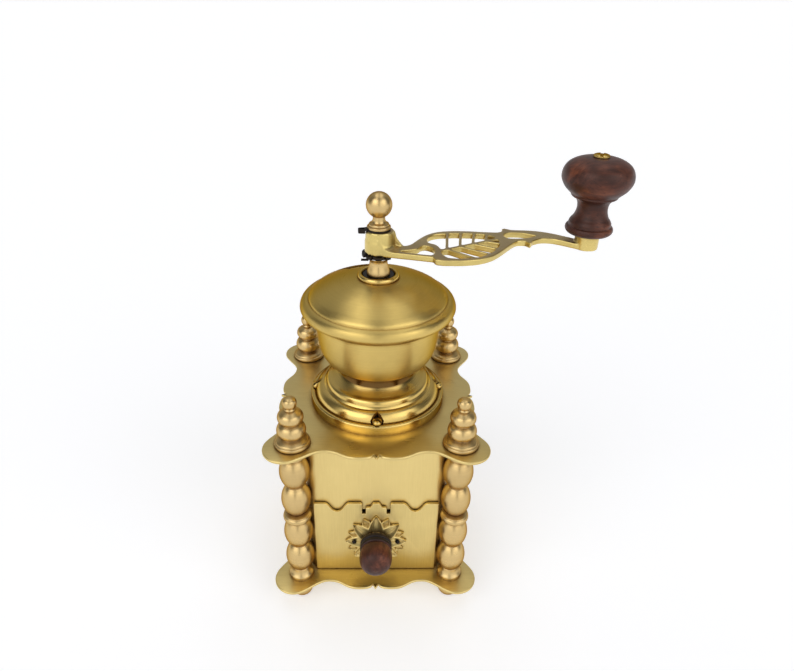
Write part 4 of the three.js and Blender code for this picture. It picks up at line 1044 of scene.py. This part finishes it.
class GRINDER_OT_bushes(bpy.types.Operator):
    """Turns the lid's collar, the black bush and the bell-shaped sleeve"""

    bl_idname = "grinder.bushes"
    bl_label = "Collar and bushes"

    def execute(self, context):
        node = "lid_collar"
        radius, inner = radius_of(node) - 0.7 * MM, radius_of("dome_bush") + 0.3 * MM
        torus = moulding((inner, 0), (radius, height_of(node)), [
            (0.9, 0), (1, 0.25), (0.95, 0.6), (0.75, 0.9), (0.45, 1), (0.15, 0.9), (0, 0.6),
        ])
        line = profile([(inner, 0), torus[0]], torus, [torus[-1], (inner, 0)])
        piece(f"{node}_fine", turned(line), "housing", "polished_brass", [node], foot_of(node))

        node = "bearing_sleeve"
        tall, tube, bell, rise = height_of(node), 6.2 * MM, 6.9 * MM, 12.3 * MM
        waist = moulding((SPINDLE_BORE, rise), (bell, tall), [
            (1, 0), (1, 0.08), (0.85, 0.26), (0.62, 0.45), (0.45, 0.62), (0.38, 0.76), (0.42, 0.87),
            (0.54, 0.95), (0.6, 1),
        ])
        line = profile(
            [(SPINDLE_BORE, 0), (tube, 0)], [(tube, 0), (tube, rise)], waist,
            [waist[-1], (SPINDLE_BORE, tall)],
        )
        piece(f"{node}_fine", turned(line), "housing", "turned_brass", [node], foot_of(node))

        node = "dome_bush"
        tall, flange = height_of(node), radius_of(node)
        bore, tube, step, bevel = 6.5 * MM, 7.6 * MM, 5 * MM, 0.3 * MM
        line = [
            (bore, 0), (tube, 0), (tube, step), (flange, step), (flange, tall - bevel),
            (flange - bevel, tall), (bore, tall),
        ]
        piece(f"{node}_fine", turned(line), "housing", "black_steel", [node], foot_of(node))
        return {"FINISHED"}


# Drawer
def drawer_outline(sizes):
    """A scalloped top edge with two narrow notches beside a middle lobe, from the middle of the foot."""
    half = half_width_of("drawer_front")
    lobe, valley, step, notch = sizes.lobe_height, sizes.valley_height, sizes.step_height, sizes.notch_height
    corner, valley_place, lobe_place = half - 6.3 * MM, 25.1 * MM, 16.8 * MM
    notch_outer, notch_inner, step_place, middle = 9.1 * MM, 6.7 * MM, 3.7 * MM, 2.2 * MM
    turn, chamfer, slant = 1.3 * MM, 0.5 * MM, 0.6 * MM

    def ease(start, end, lean=0.5):
        reach = (end[0] - start[0]) * lean
        return bezier(start, (start[0] + reach, start[1]), (end[0] - reach, end[1]), end, 14)

    right = [(half, 0), (half, lobe), *ease((corner, lobe), (valley_place, valley))]
    right += ease((valley_place, valley), (lobe_place, lobe))[1:]
    right += arc((notch_outer + turn, lobe - turn), turn, QUARTER_TURN, math.pi, 6)
    right += [(notch_outer, notch), (notch_inner, notch)]
    right += [(notch_inner, step - chamfer), (notch_inner - chamfer, step)]
    right += ease((step_place + slant, step), (middle - slant, lobe), 0.35)
    return right + [(-x, z) for x, z in reversed(right)]


class GRINDER_OT_drawer(bpy.types.Operator):
    """Cuts the drawer's scalloped front"""

    bl_idname = "grinder.drawer"
    bl_label = "Drawer front"

    def execute(self, context):
        sizes = context.scene.grinder_drawer
        low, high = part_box("drawer_front")
        mesh = slab(drawer_outline(sizes), high.y - low.y, edge=sizes.sheet_edge)
        moved(mesh, turn=OUTWARDS)
        at = ((low.x + high.x) / 2, high.y, low.z)
        piece("drawer_front_fine", mesh, "drawer", "brushed_brass", ["drawer_front"], at)
        return {"FINISHED"}


def rosette_mesh(sizes, radius, thickness, rings=48, per_leaf=56):
    """Hollow pointed leaves with raised rims, and a second row between them; the upper ones are longer."""
    step = 2 * math.pi / sizes.leaves
    inner, webbed = 0.4 * radius, 0.74 * radius
    hub, ground = 0.9 * thickness, 0.3 * thickness
    front_half, back_half, back_reach = 0.31 * radius, 0.29 * radius, 0.97

    def reach_of(angle):
        return radius * (1.04 + 0.1 * max(0, math.sin(angle)) ** 3)

    def off_front(angle):
        """The angle from the nearest front leaf's crease."""
        return abs((angle + step / 2) % step - step / 2)

    def across_leaf(distance, local, reach, half_width):
        """How far across a leaf a point lies, from 0 on its crease to 1 on its rim."""
        share = max(0, (distance - inner) / (reach - inner))
        if share >= 1:
            return 2
        return abs(distance * math.sin(local)) / (half_width * (1 - share**2.1) + TINY)

    def edge_of(angle):
        front, reach = off_front(angle), reach_of(angle)
        for distance in (reach * (1 - i / 60) for i in range(60)):
            in_front = across_leaf(distance, front, reach, front_half) <= 1
            in_back = across_leaf(distance, step / 2 - front, back_reach * reach, back_half) <= 1
            if in_front or in_back or distance < webbed:
                return distance
        return inner

    def height(distance, angle):
        if distance < inner:
            return hub
        front, reach = off_front(angle), reach_of(angle)
        fall = max(0, (distance - inner) / (reach - inner))
        for local, extent, half_width, level in (
            (front, reach, front_half, thickness * (1 - 0.5 * fall**1.5)),
            (step / 2 - front, back_reach * reach, back_half, thickness * (0.72 - 0.3 * fall)),
        ):
            across = across_leaf(distance, local, extent, half_width)
            if across <= 1:
                hollow = 1 - min(1, max(0, (across - 0.4) / 0.3)) ** 1.5
                crease = 0.3 * math.exp(-((across / 0.13) ** 2))
                fading = min(1, 4 * (1 - fall) + 0.2)
                return level - sizes.leaf_depth * (hollow - crease) * fading
        return ground

    mesh = bmesh.new()
    total = sizes.leaves * per_leaf
    angles = [2 * math.pi * i / total for i in range(total)]
    edges = [edge_of(angle) for angle in angles]
    floor = [mesh.verts.new((0, 0, 0))]
    rows = [[mesh.verts.new((0, 0, hub))]]
    for ring in range(1, rings + 1):
        places = [(edge * ring / rings, angle) for edge, angle in zip(edges, angles)]
        rows.append([
            mesh.verts.new((r * math.cos(angle), r * math.sin(angle), height(r, angle)))
            for r, angle in places
        ])
    skirt = [mesh.verts.new((vert.co.x, vert.co.y, 0)) for vert in rows[-1]]
    for lower, upper in zip(rows, rows[1:]):
        ring_faces(mesh, lower, upper)
    ring_faces(mesh, rows[-1], skirt)
    ring_faces(mesh, skirt, floor)
    evened(mesh, [vert for row in rows[1:] for vert in row], 0.35)
    bmesh.ops.recalc_face_normals(mesh, faces=mesh.faces)
    return mesh


class GRINDER_OT_rosette(bpy.types.Operator):
    """Models the cast rosette and its two nails"""

    bl_idname = "grinder.rosette"
    bl_label = "Rosette"

    def execute(self, context):
        sizes = context.scene.grinder_drawer
        low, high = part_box("rosette")
        mesh = moved(rosette_mesh(sizes, half_width_of("rosette"), high.y - low.y), turn=OUTWARDS)
        at = ((low.x + high.x) / 2, high.y, middle_of("rosette_nail_left").z)
        piece("rosette_fine", mesh, "drawer", "cast_brass", ["rosette"], at, crease=60, look="rosette_brass")
        head, shank = 1.5 * MM, 0.8 * MM
        collar = -0.8 * head
        for side in ("left", "right"):
            node = f"rosette_nail_{side}"
            low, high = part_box(node)
            point = low.y - high.y
            line = profile(
                [(0, point), (shank, point)], [(shank, point), (shank, collar)],
                [(shank, collar), (head, collar)],
                [(head, collar), (0.85 * head, -0.35 * head), (0.5 * head, -0.1 * head), (0, 0)],
            )
            mesh = moved(turned(line, 32), turn=OUTWARDS)
            centre = middle_of(node)
            piece(f"{node}_fine", mesh, "drawer", "black_steel", [node], (centre.x, low.y, centre.z))
        return {"FINISHED"}


class GRINDER_OT_drawer_knob(bpy.types.Operator):
    """Turns the drawer's acorn-shaped wooden knob"""

    bl_idname = "grinder.drawer_knob"
    bl_label = "Drawer knob"

    def execute(self, context):
        sizes = context.scene.grinder_drawer
        low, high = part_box("drawer_knob")
        reach = high.y - low.y
        runs = [
            [(0, 0), (0.82, 0)],
            [(0.82, 0), (0.94, 0.015), (0.985, 0.06), (0.975, 0.12), (0.89, 0.15)],
            [(0.89, 0.15), (0.89, 0.17), (0.975, 0.195), (0.99, 0.24), (0.96, 0.28), (0.9, 0.3)],
            [(0.9, 0.3), (0.965, 0.38), (1, 0.5), (0.985, 0.64), (0.89, 0.79), (0.69, 0.9),
             (0.42, 0.965), (0.16, 0.99)],
            [(0.16, 0.99), (0.1, 0.998), (0, 1)],
        ]
        scaled = [[(across * sizes.knob, up * reach) for across, up in run] for run in runs]
        mesh = moved(turned(profile(*scaled)), turn=OUTWARDS)
        centre = middle_of("drawer_knob")
        at = (centre.x, high.y, centre.z)
        piece("drawer_knob_fine", mesh, "drawer", "wood", ["drawer_knob"], at, crease=50, look="knob_wood")
        return {"FINISHED"}


# Crank
PLAN_REACH = 125
PLAN_UNIT = CRANK_RADIUS / PLAN_REACH


def arm_outline(sizes):
    """The arm's plan, with the hub at the origin and the boss on the X axis at PLAN_REACH."""
    boss, hub = sizes.boss / PLAN_UNIT, sizes.hub / PLAN_UNIT
    start, end = math.radians(215), math.radians(485)
    leaves, meets = (
        (PLAN_REACH + boss * math.cos(angle), boss * math.sin(angle)) for angle in (start, end)
    )
    stem = [(0, -hub), (8.2, -11.6), (20, -15.6), (29, -18.8)]
    shoulder = [(29, -18.8), (30.1, -22.4), (34.5, -24.2)]
    belly = [
        (34.5, -24.2), (45, -24.8), (54.5, -23.4), (63, -18.9), (70, -11.8),
        (78, -2.2), (83.5, 3.2), (88.4, 3.4),
    ]
    barb = [(88.4, 3.4), (90.6, -0.6), (93.4, 3.8)]
    tail = [(93.4, 3.8), (99, 6.8), (105, 6.4), (110.5, 3.2), leaves]
    back = [meets, (116, 10), (110.6, 14.6), (104, 18.8), (96.5, 21.4), (85.4, 23)]
    spur = [(85.4, 23), (81.6, 26), (79.8, 25.4)]
    notch = [(79.8, 25.4), (78.4, 21), (75, 19)]
    ridge = [(75, 19), (67, 20.2), (57, 22.2), (46.2, 22.9), (37, 21.2), (30, 16.3), (24.6, 9.6), (19.8, 2.6)]
    crook = [(19.8, 2.6), (17, 0.2), (13, -0.6), (hub, 0)]
    line = profile(stem, shoulder, belly) + barb + profile(tail)
    line += arc((PLAN_REACH, 0), boss, start, end, 40)
    line += profile(back) + spur + profile(notch, ridge, crook) + arc((0, 0), hub, 0, 1.5 * math.pi, 40)
    return clean([(x * PLAN_UNIT, y * PLAN_UNIT) for x, y in line])


def clipped(points, place, side):
    """The part of an outline that lies on one side of a line."""
    kept = []
    place, side = Vector(place), Vector(side)
    for a, b in zip(points, points[1:] + points[:1]):
        a, b = Vector(a), Vector(b)
        depth_a, depth_b = (a - place).dot(side), (b - place).dot(side)
        if depth_a >= 0:
            kept.append(tuple(a))
        if (depth_a >= 0) != (depth_b >= 0):
            kept.append(tuple(a.lerp(b, depth_a / (depth_a - depth_b))))
    return kept


def softened(points, spacing, rounds):
    """An outline with evenly spaced points and rounded corners."""
    line = [Vector(point) for point in clean(points)]
    even = []
    for a, b in zip(line, line[1:] + line[:1]):
        count = max(1, round((b - a).length / spacing))
        even += [a.lerp(b, i / count) for i in range(count)]
    for _ in range(rounds):
        nexts = even[1:] + even[:1]
        even = [(even[i - 1] + 2 * even[i] + nexts[i]) / 4 for i in range(len(even))]
    return [tuple(point) for point in even]


def arm_windows(sizes):
    """The openings of the arm: one at the root, one at the tip, and the leaf's, parted by its veins."""
    root = profile(
        [(11.2, -7.9), (17, -7.2), (22.4, -5.2), (24.6, -1.8), (27.4, -0.6)],
        [(27.4, -0.6), (31.2, -5), (31, -12), (28.6, -15.6)],
        [(28.6, -15.6), (22, -13.6), (13, -10.2), (11.2, -7.9)],
    )
    leaf = profile(
        [(29.4, 8), (31.6, 13.6), (36.5, 17.2), (46, 18.4), (57, 17.6), (67, 15.2), (71.5, 10.5)],
        [(71.5, 10.5), (72.5, 4), (70.5, -4), (66, -10.8), (60, -16.8), (53, -20.4), (44, -21.4),
         (37.4, -20)],
        [(37.4, -20), (34.8, -14), (35.4, -6), (33.6, 0.6), (30, 3.6), (29.4, 8)],
    )
    eye = profile(
        [(77.4, 13), (79.4, 16.8), (84, 18), (91, 16.8), (98.4, 12)],
        [(98.4, 12), (92, 8.8), (85, 8), (79.6, 8.8), (77.4, 13)],
    )
    stem, tip = Vector((33.5, -9)), Vector((74, 9))
    along = (tip - stem).normalized()
    up = Vector((-along.y, along.x))
    half_rib, half_vein = sizes.midrib / PLAN_UNIT / 2, sizes.vein / PLAN_UNIT / 2
    windows, smallest = [], 6
    for sign, lean in ((1, Vector((5, 19.8))), (-1, Vector((12, -12.5)))):
        bars = []
        for i in range(1, sizes.veins + 1):
            start = stem.lerp(tip, (i - 0.35) / (sizes.veins + 0.8))
            far = Vector((start.x + 5, lean.y)) if sign > 0 else start + lean + Vector((0, 2.2 * (i - 1)))
            bars.append((start, (far - start).normalized()))
        for i in range(len(bars) + 1):
            pane = clipped(leaf, stem + up * half_rib * sign, up * sign)
            if i > 0:
                start, way = bars[i - 1]
                right = Vector((way.y, -way.x)) * sign
                pane = clipped(pane, start + right * half_vein, right) if pane else pane
            if i < len(bars):
                start, way = bars[i]
                right = Vector((way.y, -way.x)) * sign
                pane = clipped(pane, start - right * half_vein, -right) if pane else pane
            if len(pane) > 2 and abs(area(pane)) > smallest:
                windows.append(pane)
    rounded = [softened(window, 0.45, 6) for window in (root, eye, *windows)]
    return [[(x * PLAN_UNIT, y * PLAN_UNIT) for x, y in window] for window in rounded]


class GRINDER_OT_arm(bpy.types.Operator):
    """Casts the pierced crank arm in one with its hub and boss"""

    bl_idname = "grinder.arm"
    bl_label = "Crank arm"

    def execute(self, context):
        sizes = context.scene.grinder_crank
        outline = arm_outline(sizes)
        height, thick = height_of("crank_arm"), sizes.arm
        plate = slab(outline, thick, arm_windows(sizes), 0.3 * MM, 2)
        hub_line = [
            (SPINDLE_BORE, 0), (sizes.hub, 0), (sizes.hub, thick), (sizes.hub_top, height - 0.6 * MM),
            (sizes.hub_top - 0.5 * MM, height), (SPINDLE_BORE, height),
        ]
        hub = turned(hub_line, 64)
        bulge = moved(turned(hub_line, 64), (1.3 * MM, 0, 0))
        reach = 4.5 * MM
        slope = moulding((sizes.hub + reach, thick), (sizes.hub - 0.4 * MM, thick + reach), [
            (0, 0), (0.5, 0.14), (0.8, 0.42), (1, 1),
        ])
        flare = turned([(0, 0), (sizes.hub + reach, 0), *through(slope), (0, thick + reach)], 64)
        column = slab(outline, height, edge=0.1 * MM, steps=1)
        fillet = combined(flare, [column], "INTERSECT")
        boss_top, bevel = sizes.boss_height, 0.5 * MM
        boss = turned([
            (0, 0), (sizes.boss, 0), (sizes.boss, boss_top - bevel),
            (sizes.boss - bevel, boss_top), (0, boss_top),
        ], 64)
        moved(boss, (CRANK_RADIUS, 0, 0))
        web_top, web_width = height - MM, 4.4 * MM
        side = [
            (0, 0), (17 * MM, 0), (12.6 * MM, thick + 1.6 * MM), (10.4 * MM, 0.62 * height),
            (9.4 * MM, web_top), (0, web_top),
        ]
        web = moved(slab(side, web_width, edge=0.6 * MM), turn=OUTWARDS)
        moved(web, (0, web_width / 2, 0))
        rough = as_object(together([plate, hub, bulge, web, fillet, boss]), "rough_arm")
        step = rough.modifiers.new("cast", "REMESH")
        step.mode = "VOXEL"
        step.voxel_size = sizes.grain
        settled(rough)
        mesh = bmesh.new()
        mesh.from_mesh(rough.data)
        bpy.data.meshes.remove(rough.data)
        for _ in range(3):
            evened(mesh, mesh.verts, 0.5)
        at = on_axis("crank_arm")
        piece("crank_arm_fine", mesh, "spindle", "cast_brass", ["crank_arm"], at, CRANK_TURN, crease=70)
        return {"FINISHED"}


class GRINDER_OT_nuts(bpy.types.Operator):
    """Makes the washers, the notched adjusting nut and the ball nut"""

    bl_idname = "grinder.nuts"
    bl_label = "Nuts and washers"

    def execute(self, context):
        sizes = context.scene.grinder_crank
        node = "adjusting_nut"
        radius, root, tube = 9.9 * MM, 8.3 * MM, 6.2 * MM
        step = 2 * math.pi / sizes.nut_notches
        tooth = [
            (0, root), (0.06, radius), (0.2, radius), (0.35, radius), (0.5, radius), (0.64, radius),
            (0.7, root), (0.85, root),
        ]
        outline = [
            (r * math.cos((i + share) * step), r * math.sin((i + share) * step))
            for i in range(sizes.nut_notches) for share, r in tooth
        ]
        disc = slab(outline, 1.9 * MM, [circle((0, 0), SPINDLE_BORE, 48)], 0.3 * MM, 2)
        moved(disc, (0, 0, 0.9 * MM))
        boss = turned([(SPINDLE_BORE, 0), (tube, 0), (tube, MM), (SPINDLE_BORE, MM)], 64)
        mesh = together([disc, boss])
        piece(f"{node}_fine", mesh, node, "black_steel", [node], on_axis(node), CRANK_TURN)

        node = "thrust_washer"
        rim, thick = 5.8 * MM, height_of(node)
        ring = turned([(SPINDLE_BORE, 0), (rim, 0), (rim, thick), (SPINDLE_BORE, thick)], 64)
        piece(f"{node}_fine", ring, node, "steel", [node], on_axis(node))

        node = "tab_washer"
        rim, reach, half, tall = 6.9 * MM, 12 * MM, 2.5 * MM, 2.9 * MM
        thick = height_of(node)
        lean, root = math.asin(half / rim), rim + 1.2 * MM
        outline = arc((0, 0), rim, -math.pi + lean, math.pi - lean, 60)
        outline += [
            (-root, 0.75 * half), (-reach, 0.1 * half), (-reach, -0.1 * half), (-root, -0.75 * half),
        ]
        flat = slab(outline, thick, [circle((0, 0), ROD_BORE, 40)], 0.2 * MM, 2)
        root = rim + 0.9 * MM
        claw = [(-root, 2 * MM), (-reach, 1.4 * MM), (-reach, -1.4 * MM), (-root, -2 * MM)]
        claw = softened(claw, 0.3 * MM, 4)
        claw = moved(slab(claw, tall, edge=0.5 * MM), (0, 0, thick - tall))
        mesh = together([flat, claw])
        piece(f"{node}_fine", mesh, "spindle", "black_steel", [node], on_axis(node), CRANK_TURN)

        node = "ball_nut"
        tall, ball, neck, thread = height_of(node), sizes.ball, 3.4 * MM, 7.9 * MM
        start = -math.acos(neck / ball)
        dome = arc((0, tall - ball), ball, start, QUARTER_TURN, 30)[:-1]
        line = profile(
            [(ROD_BORE, 0), (6.7 * MM, 0)],
            [(6.7 * MM, 0), (6.85 * MM, 0.3 * MM), (6.85 * MM, 1.2 * MM), (6.6 * MM, 1.5 * MM)],
            [(6.6 * MM, 1.5 * MM), (5.9 * MM, 1.7 * MM)],
            [(5.9 * MM, 1.7 * MM), (5.95 * MM, 2 * MM), (5.8 * MM, 2.7 * MM), (5.4 * MM, 3.1 * MM)],
            [(5.4 * MM, 3.1 * MM), (4.5 * MM, 3.5 * MM), (3.9 * MM, 4.3 * MM), (3.6 * MM, 5.4 * MM),
             (neck, 7 * MM), dome[0]],
        )
        shape = turned([*line, *dome[1:], (0, tall), (0, thread), (ROD_BORE, thread)], 72)
        piece(f"{node}_fine", shape, "spindle", "turned_brass", [node], on_axis(node))
        return {"FINISHED"}


class GRINDER_OT_crank_knob(bpy.types.Operator):
    """Turns the crank's wooden knob and sets its slotted screw"""

    bl_idname = "grinder.crank_knob"
    bl_label = "Crank knob"

    def execute(self, context):
        sizes = context.scene.grinder_crank
        low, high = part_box("crank_knob")
        lift = 1.2 * MM
        tall = high.z - low.z - lift
        bore = ROD_BORE / sizes.knob
        runs = [
            [(bore, 0), (0.46, 0)],
            [(0.46, 0), (0.58, 0.012), (0.66, 0.04), (0.685, 0.075), (0.66, 0.108), (0.61, 0.122)],
            [(0.61, 0.122), (0.605, 0.14), (0.6, 0.165), (0.565, 0.195)],
            [(0.565, 0.195), (0.5, 0.235), (0.447, 0.3), (0.433, 0.365), (0.462, 0.43), (0.54, 0.475),
             (0.63, 0.497)],
            [(0.63, 0.497), (0.66, 0.512), (0.665, 0.53)],
            [(0.665, 0.53), (0.75, 0.562), (0.88, 0.62), (0.975, 0.695), (1, 0.757), (0.972, 0.83),
             (0.88, 0.9), (0.7, 0.955), (0.45, 0.99), (bore, 1)],
        ]
        scaled = [[(across * sizes.knob, up * tall) for across, up in run] for run in runs]
        at = (KNOB_AXIS.x, KNOB_AXIS.y, low.z + lift)
        mesh = turned(profile(*scaled))
        piece("crank_knob_fine", mesh, "crank_knob", "wood", ["crank_knob"], at, crease=50)

        low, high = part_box("knob_screw")
        radius, head, shank = 4.6 * MM, 1.7 * MM, 2.5 * MM
        mesh = slotted_screw(radius, head, math.radians(70), shank, high.z - head - low.z, 56)
        at = (KNOB_AXIS.x, KNOB_AXIS.y, high.z - head)
        piece("knob_screw_fine", mesh, "spindle", "polished_brass", ["knob_screw"], at)
        return {"FINISHED"}


class GRINDER_OT_works(bpy.types.Operator):
    """Gives the pieces that stay from the frame their finishes and soft edges"""

    bl_idname = "grinder.works"
    bl_label = "Inner works"

    def execute(self, context):
        slots = {row["node"]: row["material_slot"] for row in frame["record"]["subparts"]}
        for name, node in frame["nodes"].items():
            if node.hide_render:
                continue
            node.data.materials.clear()
            node.data.materials.append(finish(slots[name]))
            edge = node.modifiers.new("edge", "BEVEL")
            edge.width, edge.segments = 0.12 * MM, 2
            edge.limit_method, edge.angle_limit = "ANGLE", math.radians(40)
        return {"FINISHED"}


# Stage
FLOOR_COLOUR = (0.745, 0.75, 0.775, 1)
FLOOR_GLOW = 0.42
BOX_LEVEL = 1.3
HORIZON_LEVEL = 0.95
# Levels of light around the mill, from straight in front to straight behind
AROUND = [(0.0, 1.0), (0.27, 0.92), (0.42, 0.16), (0.5, 0.1), (0.64, 0.1), (0.8, 0.27), (1.0, 0.34)]
CAMERA_PLACE = Vector((-0.18 * MM, -339.67 * MM, 365.66 * MM))
LENS_SHIFT = 0.0028
WHITE = (1, 1, 1, 1)


def make_floor(reach):
    """A pale floor that keeps the mill's shadow, and glows enough to look white beside it."""
    graph = Graph(bpy.data.materials.new("floor"))
    rays = graph.add("ShaderNodeLightPath").outputs
    seen = graph.math("MAXIMUM", rays["Is Camera Ray"], rays["Is Glossy Ray"])
    seen = graph.math("MAXIMUM", seen, rays["Is Transmission Ray"])
    graph.feed(graph.shader, {
        "Base Color": FLOOR_COLOUR, "Roughness": 0.9, "Specular IOR Level": 0.0,
        "Emission Color": WHITE, "Emission Strength": graph.math("MULTIPLY", seen, FLOOR_GLOW),
    })
    mesh = bmesh.new()
    bmesh.ops.create_grid(mesh, x_segments=1, y_segments=1, size=reach)
    floor = as_object(mesh, "floor")
    floor.data.materials.append(bpy.data.materials["floor"])


def make_world():
    """Two broad soft boxes in front with a gap between them, dark sides, a grey back and a white horizon."""
    world = bpy.data.worlds.new("studio")
    graph = Graph(world, "Background")
    place = graph.add("ShaderNodeTexCoord").outputs["Generated"]
    x, y, z = graph.add("ShaderNodeSeparateXYZ", {0: place}).outputs
    low = graph.math("SUBTRACT", 1.0, graph.math("MULTIPLY", z, z))
    flat = graph.math("SQRT", graph.math("MAXIMUM", low, 1e-4))
    front = graph.math("DIVIDE", y, flat)
    aside = graph.math("ABSOLUTE", graph.math("DIVIDE", x, flat))
    ramp = graph.add("ShaderNodeValToRGB", {"Fac": graph.span(front, -1.0, 1.0, 0.0, 1.0)})
    marks = ramp.color_ramp.elements
    for position, _ in AROUND[1:-1]:
        marks.new(position)
    for mark, (position, level) in zip(marks, AROUND):
        mark.position = position
        mark.color = (level, level, level, 1)
    boxes = graph.math("MULTIPLY", ramp.outputs[0], BOX_LEVEL)
    gap = graph.span(aside, 0.08, 0.17, 0.25, 1.0)
    gap = graph.math("MAXIMUM", gap, graph.math("GREATER_THAN", front, 0.0))
    boxes = graph.math("MULTIPLY", boxes, gap)
    off = graph.math("ABSOLUTE", x)
    inner_edge, outer_edge = graph.span(off, 0.05, 0.16, 0.45, 1.1), graph.span(off, 0.33, 0.46, 1.0, 0.15)
    panels = graph.math("MULTIPLY", inner_edge, outer_edge)
    ceiling = graph.math("MULTIPLY", panels, graph.span(y, -0.45, 0.05, 0.35, 1.2))
    level = graph.blend(graph.span(z, 0.7, 0.84, 0.0, 1.0), boxes, ceiling)
    level = graph.blend(graph.span(z, 0.03, 0.13, 1.0, 0.0), level, HORIZON_LEVEL)
    graph.feed(graph.shader, {"Color": WHITE, "Strength": level})
    bpy.context.scene.world = world


def make_sun(name, direction, strength, spread):
    data = bpy.data.lights.new(name, "SUN")
    data.energy, data.angle = strength, math.radians(spread)
    lamp = bpy.data.objects.new(name, data)
    lamp.rotation_euler = Vector(direction).to_track_quat("-Z", "Y").to_euler()
    bpy.context.scene.collection.objects.link(lamp)


def make_camera(sizes):
    """The view that was fitted to the photograph, given from the spindle's axis."""
    forward = Vector((
        math.sin(sizes.yaw) * math.cos(sizes.pitch),
        math.cos(sizes.yaw) * math.cos(sizes.pitch),
        -math.sin(sizes.pitch),
    ))
    right = forward.cross(Vector((0, 0, 1))).normalized()
    up = right.cross(forward)
    across = right * math.cos(sizes.roll) + up * math.sin(sizes.roll)
    upright = up * math.cos(sizes.roll) - right * math.sin(sizes.roll)
    data = bpy.data.cameras.new("camera")
    data.lens, data.sensor_width, data.sensor_fit = sizes.focal, 36, "HORIZONTAL"
    data.shift_x = LENS_SHIFT
    data.clip_start, data.clip_end = 0.01, 300
    camera = bpy.data.objects.new("camera", data)
    turn = Matrix((across, upright, -forward)).transposed()
    place = Vector((AXIS.x, AXIS.y, 0)) + CAMERA_PLACE
    camera.matrix_world = Matrix.Translation(place) @ turn.to_4x4()
    bpy.context.scene.collection.objects.link(camera)
    bpy.context.scene.camera = camera


class GRINDER_OT_stage(bpy.types.Operator):
    """Sets up the pale floor, the soft lamps and the camera"""

    bl_idname = "grinder.stage"
    bl_label = "Stage"

    def execute(self, context):
        sizes = context.scene.grinder_stage
        make_floor(sizes.floor_reach)
        make_world()
        make_sun("left_lamp", (0.6, 0.6, -0.75), 0.35, 40)
        make_sun("right_lamp", (-0.7, 0.5, -0.7), 0.25, 40)
        make_camera(sizes)
        context.scene.view_settings.view_transform = "Standard"
        return {"FINISHED"}


class GRINDER_PT_panel(bpy.types.Panel):
    """Lists the grinder's sizes and steps"""

    bl_idname = "GRINDER_PT_panel"
    bl_label = "Grinder"
    bl_space_type = "VIEW_3D"
    bl_region_type = "UI"
    bl_category = "Grinder"

    def draw(self, context):
        for name in GROUPS:
            box = self.layout.box()
            group = getattr(context.scene, name)
            for key in group.__annotations__:
                box.prop(group, key)
        for step in STEPS:
            self.layout.operator(step.bl_idname)


GROUPS = {
    "grinder_stand": StandSizes,
    "grinder_hopper": HopperSizes,
    "grinder_crank": CrankSizes,
    "grinder_drawer": DrawerSizes,
    "grinder_finishes": Finishes,
    "grinder_stage": StageSizes,
}
STEPS = [
    GRINDER_OT_stage, GRINDER_OT_finishes, GRINDER_OT_plates, GRINDER_OT_case, GRINDER_OT_columns,
    GRINDER_OT_finials, GRINDER_OT_feet, GRINDER_OT_flange, GRINDER_OT_bowl, GRINDER_OT_lid,
    GRINDER_OT_bushes, GRINDER_OT_drawer, GRINDER_OT_rosette, GRINDER_OT_drawer_knob,
    GRINDER_OT_arm, GRINDER_OT_nuts, GRINDER_OT_crank_knob, GRINDER_OT_works,
]


def register():
    for kind in (*GROUPS.values(), *STEPS, GRINDER_PT_panel):
        bpy.utils.register_class(kind)
    for name, group in GROUPS.items():
        setattr(bpy.types.Scene, name, PointerProperty(type=group))


def unregister():
    for name in GROUPS:
        delattr(bpy.types.Scene, name)
    for kind in reversed((*GROUPS.values(), *STEPS, GRINDER_PT_panel)):
        bpy.utils.unregister_class(kind)


def main():
    register()
    for step in STEPS:
        family, name = step.bl_idname.split(".")
        getattr(getattr(bpy.ops, family), name)()


if __name__ == "__main__":
    main()
